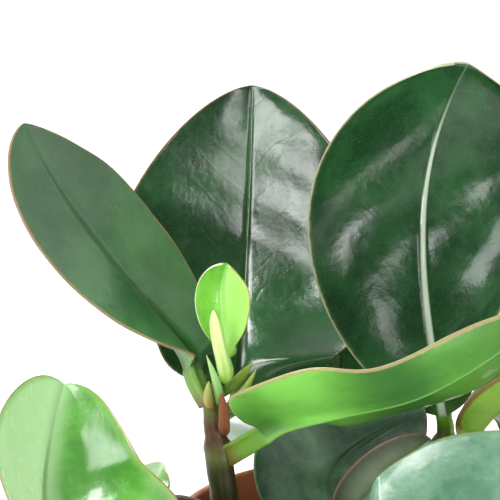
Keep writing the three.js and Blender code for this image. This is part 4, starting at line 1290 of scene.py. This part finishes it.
def pebble():
    """Points and faces of a ball with 12 points, the form that every crumb is pressed from."""
    golden = (1 + 5 ** 0.5) / 2
    signs = [(s, t * golden) for s in (-1, 1) for t in (-1, 1)]
    corners = [(s, t, 0) for s, t in signs] + [(0, s, t) for s, t in signs] + [(t, 0, s) for s, t in signs]
    points = unit(np.array(corners, float))
    triangles = []
    for i in range(12):
        for j in range(i + 1, 12):
            for k in range(j + 1, 12):
                if all(np.linalg.norm(points[m] - points[n]) < 1.1 for m, n in ((i, j), (j, k), (i, k))):
                    order = (i, j, k)
                    if np.dot(np.cross(points[j] - points[i], points[k] - points[i]), points[i]) < 0:
                        order = (i, k, j)
                    triangles.append(order)
    return points, triangles


def soil_mound(draw, pot, top):
    """Points and faces of the mound, which fills the pot from its floor to just below the rim."""
    foot = pot["height"] - COLLAR_HEIGHT
    sides, rings = SOIL_SIDES, SOIL_RINGS
    levels = [
        (inner_radius(FLOOR, pot) - GAP, FLOOR + GAP),
        (inner_radius(foot, pot) - GAP, foot),
        (inner_radius(foot + 3, pot) - GAP, foot + 3.2),
        (top, SOIL_TOP - 0.4),
    ]
    turn = 2 * math.pi * np.arange(sides) / sides
    vertices = [(0, 0, FLOOR + GAP)]
    for r, z in levels:
        vertices += [(r * math.cos(a), r * math.sin(a), z) for a in turn]
    waves = []
    for _ in range(SOIL_WAVES):
        waves.append((draw.uniform(0.5, 2.6), draw.uniform(0, 6.3), draw.uniform(0, 6.3)))
    for ring in range(rings, 0, -1):
        r = (top - 0.2) * ring / rings
        for a in turn:
            x, y = r * math.cos(a), r * math.sin(a)
            z = float(soil_height(x, y, top))
            for size, way, phase in waves:
                reach = x * math.cos(way) + y * math.sin(way)
                z += SOIL_WAVE_HEIGHT / size * math.sin(size * reach + phase)
            vertices.append((x, y, z))
    vertices.append((0, 0, float(soil_height(0, 0, top))))
    count = len(levels) + rings
    last = len(vertices) - 1
    faces = []
    for k in range(sides):
        n = (k + 1) % sides
        faces.append((0, 1 + n, 1 + k))
        for i in range(count - 1):
            low, high = 1 + i * sides, 1 + (i + 1) * sides
            faces.append((low + k, low + n, high + n, high + k))
        faces.append((1 + (count - 1) * sides + k, 1 + (count - 1) * sides + n, last))
    return vertices, faces


def loose_crumb(draw, size, ball):
    """The ball turned and pressed into an uneven crumb."""
    turned_ball = ball @ np.linalg.qr(draw.normal(size=(3, 3)))[0]
    dents = draw.uniform(0.75, 1.2, (len(ball), 1))
    return size * dents * turned_ball * draw.uniform(0.6, 1.1, (1, 3))


class PEPEROMIA_OT_soil(Operator):
    """Make the mound of moist soil with its crumbs and white grains"""
    bl_idname = "peperomia.soil"
    bl_label = "Soil"

    def execute(self, context):
        settings = context.scene.peperomia_soil
        pot = pot_sizes()
        draw = np.random.default_rng(11)
        top = inner_radius(SOIL_TOP, pot) - GAP
        vertices, faces = soil_mound(draw, pot, top)
        marks = [(0.0, 0.0, 0.0)] * len(vertices)
        ball, triangles = pebble()
        stems = [np.array(points[1][:2], float) for points in STEMS.values()]
        for i in range(settings.crumbs + settings.perlite):
            white = i >= settings.crumbs
            size = draw.uniform(0.8, 1.7) if white else 0.45 + 1.5 * draw.random() ** 3
            r, a = (top - size - 0.4) * math.sqrt(draw.random()), draw.uniform(0, 2 * math.pi)
            x, y = r * math.cos(a), r * math.sin(a)
            if min(np.linalg.norm(stem - (x, y)) for stem in stems) < STEM_CLEAR + size:
                continue
            crumb = loose_crumb(draw, size, ball)
            lift = float(soil_height(x, y, top)) + 0.25 * size
            start = len(vertices)
            vertices += [tuple(point + (x, y, lift)) for point in crumb]
            faces += [tuple(start + k for k in corners) for corners in triangles]
            marks += [(draw.random(), 1.0 if white else 0.0, 0.0)] * len(ball)
        peat = potting_peat("potting_peat_moist")
        piece("soil_crumbly", vertices, faces, peat, ["soil"], {"crumb": marks})
        return {"FINISHED"}


class PEPEROMIA_OT_stems(Operator):
    """Make the fleshy stems with their swollen nodes"""
    bl_idname = "peperomia.stems"
    bl_label = "Stems"

    def execute(self, context):
        settings = context.scene.peperomia_stems
        material = fleshy_stem("fleshy_stem_skin")
        roots = [spec["root"] for spec in LEAVES.values()]
        for i, (name, points) in enumerate(STEMS.items()):
            vertices, faces, places = stem_form(points, roots, settings.sides, 30 + i)
            piece(name + "_fleshy", vertices, faces, material, [name], places)
        return {"FINISHED"}


class PEPEROMIA_OT_leaves(Operator):
    """Make every grown leaf with its petiole, midrib and margin"""
    bl_idname = "peperomia.leaves"
    bl_label = "Leaves"

    def execute(self, context):
        settings = context.scene.peperomia_leaves
        skins = leaf_skins()
        for i, (name, spec) in enumerate(LEAVES.items()):
            vertices, faces, places = leaf_form(spec, settings.rows, settings.petiole_rows, 60 + i)
            piece(name + "_waxy", vertices, faces, skins[SKIN_OF.get(name, "grown")], [name], places)
        return {"FINISHED"}


class PEPEROMIA_OT_tip(Operator):
    """Make the rolled leaf, the spike, the sheath and the buds at the growing tip"""
    bl_idname = "peperomia.tip"
    bl_label = "Growing tip"

    def execute(self, context):
        tip = context.scene.peperomia_tip
        green = context.scene.peperomia_leaves.petiole
        skins = {
            "rolled_leaf_pale": tender_bud("rolled_leaf_skin", tip.cream, linear("e2f4a4"), 0.32),
            "spike_green": tender_bud("spike_skin", tip.spike, linear("b4dc92"), 0.35),
            "sheath_brown": tender_bud("dried_sheath", tip.sheath, linear("8a4c28"), 0.6),
            "bud_orange": tender_bud("orange_bud_skin", tip.orange, linear("a9b060"), 0.35),
            "bud_pair": tender_bud("side_bud_skin", tip.bud, linear("b4c45c"), 0.35),
            "bud_pair_low": tender_bud("side_bud_low_skin", green, linear("b4c45c"), 0.35),
        }
        for name, spec in BUDS.items():
            vertices, faces, places = bud_form(spec, tip.sides, SEAM_DEPTH)
            piece(name + "_tender", vertices, faces, skins[name], [name], places)
        return {"FINISHED"}


# The stage, in metres: lights with their size, place and what they face, and the camera of the photo
LEAVES_MIDDLE = (-0.03, 0, 0.16)
LIGHTS = (
    ("light_left", "key", (0.15, 0.1), (-0.232, -0.389, 0.325), LEAVES_MIDDLE),
    ("light_far_left", "far_left", (0.42, 0.42), (-1.06, -0.18, 0.75), LEAVES_MIDDLE),
    ("light_high", "high", (0.46, 0.22), (-0.68, -0.86, 0.96), LEAVES_MIDDLE),
    ("light_strip", "strip", (0.2, 0.28), (0.41, -1.05, 0.53), LEAVES_MIDDLE),
    ("light_right", "side", (0.5, 0.5), (1.03, -0.1, 0.6), LEAVES_MIDDLE),
    ("light_far_right", "far_right", (0.25, 0.25), (0.64, 0.32, 0.16), LEAVES_MIDDLE),
    ("light_front_right", "front", (0.3, 0.22), (0.74, -0.67, 0.1), LEAVES_MIDDLE),
    ("light_low", "low", (0.2, 0.2), (0.26, -0.14, 0.004), (0.26, -0.14, 1)),
    ("light_top", "top", (0.8, 0.6), (-0.19, 0.8, 1.2), LEAVES_MIDDLE),
)
CAMERA_PLACE = (-0.0325, -0.6792, 0.3303)
CAMERA_TARGET = (-0.0325, 0, 0.161)
SENSOR_MM = 36
LENS_MM = 201.6
CAMERA_CLIP = (0.05, 30)
BOARD_REACH = 6.0
BOARD_DROP = 0.0002


def facing(place, target):
    """Placement of a light or camera that looks from one point to another."""
    return Matrix.Translation(place) @ (place - target).to_track_quat("Z", "Y").to_matrix().to_4x4()


def soft_light(name, watts, size, place, target):
    lamp = bpy.data.lights.new(name, "AREA")
    lamp.shape, lamp.size, lamp.size_y, lamp.energy = "RECTANGLE", size[0], size[1], watts
    made = bpy.data.objects.new(name, lamp)
    made.matrix_world = facing(Vector(place), Vector(target))
    bpy.context.scene.collection.objects.link(made)
    return made


class PEPEROMIA_OT_stage(Operator):
    """Make the plain floor, the soft lights and the camera at the viewing angle of the photo"""
    bl_idname = "peperomia.stage"
    bl_label = "Stage"

    def execute(self, context):
        stage = context.scene.peperomia_stage
        mesh = bpy.data.meshes.new("floor_board")
        corners = [(-1, -1), (1, -1), (1, 1), (-1, 1)]
        mesh.from_pydata([(BOARD_REACH * x, BOARD_REACH * y, 0) for x, y in corners], [], [(0, 1, 2, 3)])
        mesh.materials.append(studio_board("studio_board_white"))
        floor = bpy.data.objects.new("floor_board", mesh)
        floor.location.z = -BOARD_DROP
        context.scene.collection.objects.link(floor)

        world = bpy.data.worlds.new("studio_air")
        world.use_nodes = True
        tree = world.node_tree
        tree.nodes.clear()
        coords = node(tree, "ShaderNodeTexCoord")
        way = node(tree, "ShaderNodeSeparateXYZ", {0: coords.outputs["Generated"]})
        wide = node(tree, "ShaderNodeMath", {0: way.outputs["X"]}, operation="ABSOLUTE")
        high = node(tree, "ShaderNodeMath", {
            0: way.outputs["Z"], 1: 0.85, 2: way.outputs["Y"]}, operation="MULTIPLY_ADD")
        high = node(tree, "ShaderNodeMath", {
            0: wide.outputs[0], 1: -0.55, 2: high.outputs[0]}, operation="MULTIPLY_ADD")
        back = node(tree, "ShaderNodeMapRange", {
            0: high.outputs[0], 1: -0.3, 2: 0.6, 3: stage.air_front, 4: stage.air_back}, **EASED)
        sky = node(tree, "ShaderNodeBackground", {0: (1, 1, 1, 1), 1: back.outputs[0]})
        node(tree, "ShaderNodeOutputWorld", {0: sky.outputs[0]})
        context.scene.world = world

        for name, key, size, place, target in LIGHTS:
            soft_light(name, getattr(stage, key), size, place, target)
        context.scene.view_settings.view_transform = "Standard"

        camera = bpy.data.cameras.new("camera")
        camera.sensor_width = SENSOR_MM
        camera.lens = LENS_MM
        camera.clip_start, camera.clip_end = CAMERA_CLIP
        eye = bpy.data.objects.new("camera", camera)
        eye.matrix_world = facing(Vector(CAMERA_PLACE), Vector(CAMERA_TARGET))
        context.scene.collection.objects.link(eye)
        context.scene.camera = eye
        return {"FINISHED"}


class PEPEROMIA_PT_panel(Panel):
    bl_idname = "PEPEROMIA_PT_panel"
    bl_label = "Potted peperomia"
    bl_space_type = "VIEW_3D"
    bl_region_type = "UI"
    bl_category = "Peperomia"

    def draw(self, context):
        scene = context.scene
        for settings, operator in SECTIONS:
            box = self.layout.box()
            group = getattr(scene, settings)
            for key in group.__annotations__:
                box.prop(group, key)
            box.operator(operator)


# Settings and operator of each section of the panel, in the order in which they run
SECTIONS = (
    ("peperomia_stage", "peperomia.stage"),
    ("peperomia_pot", "peperomia.pot"),
    ("peperomia_soil", "peperomia.soil"),
    ("peperomia_stems", "peperomia.stems"),
    ("peperomia_leaves", "peperomia.leaves"),
    ("peperomia_tip", "peperomia.tip"),
)

GROUPS = {
    "peperomia_pot": PeperomiaPot,
    "peperomia_soil": PeperomiaSoil,
    "peperomia_stems": PeperomiaStems,
    "peperomia_leaves": PeperomiaLeaves,
    "peperomia_tip": PeperomiaTip,
    "peperomia_stage": PeperomiaStage,
}

CLASSES = (
    *GROUPS.values(),
    PEPEROMIA_OT_stage,
    PEPEROMIA_OT_pot,
    PEPEROMIA_OT_soil,
    PEPEROMIA_OT_stems,
    PEPEROMIA_OT_leaves,
    PEPEROMIA_OT_tip,
    PEPEROMIA_PT_panel,
)


def register():
    for item in CLASSES:
        bpy.utils.register_class(item)
    for key, group in GROUPS.items():
        setattr(bpy.types.Scene, key, PointerProperty(type=group))


def unregister():
    for key in GROUPS:
        delattr(bpy.types.Scene, key)
    for item in reversed(CLASSES):
        bpy.utils.unregister_class(item)


def main():
    register()
    bpy.ops.peperomia.stage()
    bpy.ops.peperomia.pot()
    bpy.ops.peperomia.soil()
    bpy.ops.peperomia.stems()
    bpy.ops.peperomia.leaves()
    bpy.ops.peperomia.tip()


if __name__ == "__main__":
    main()
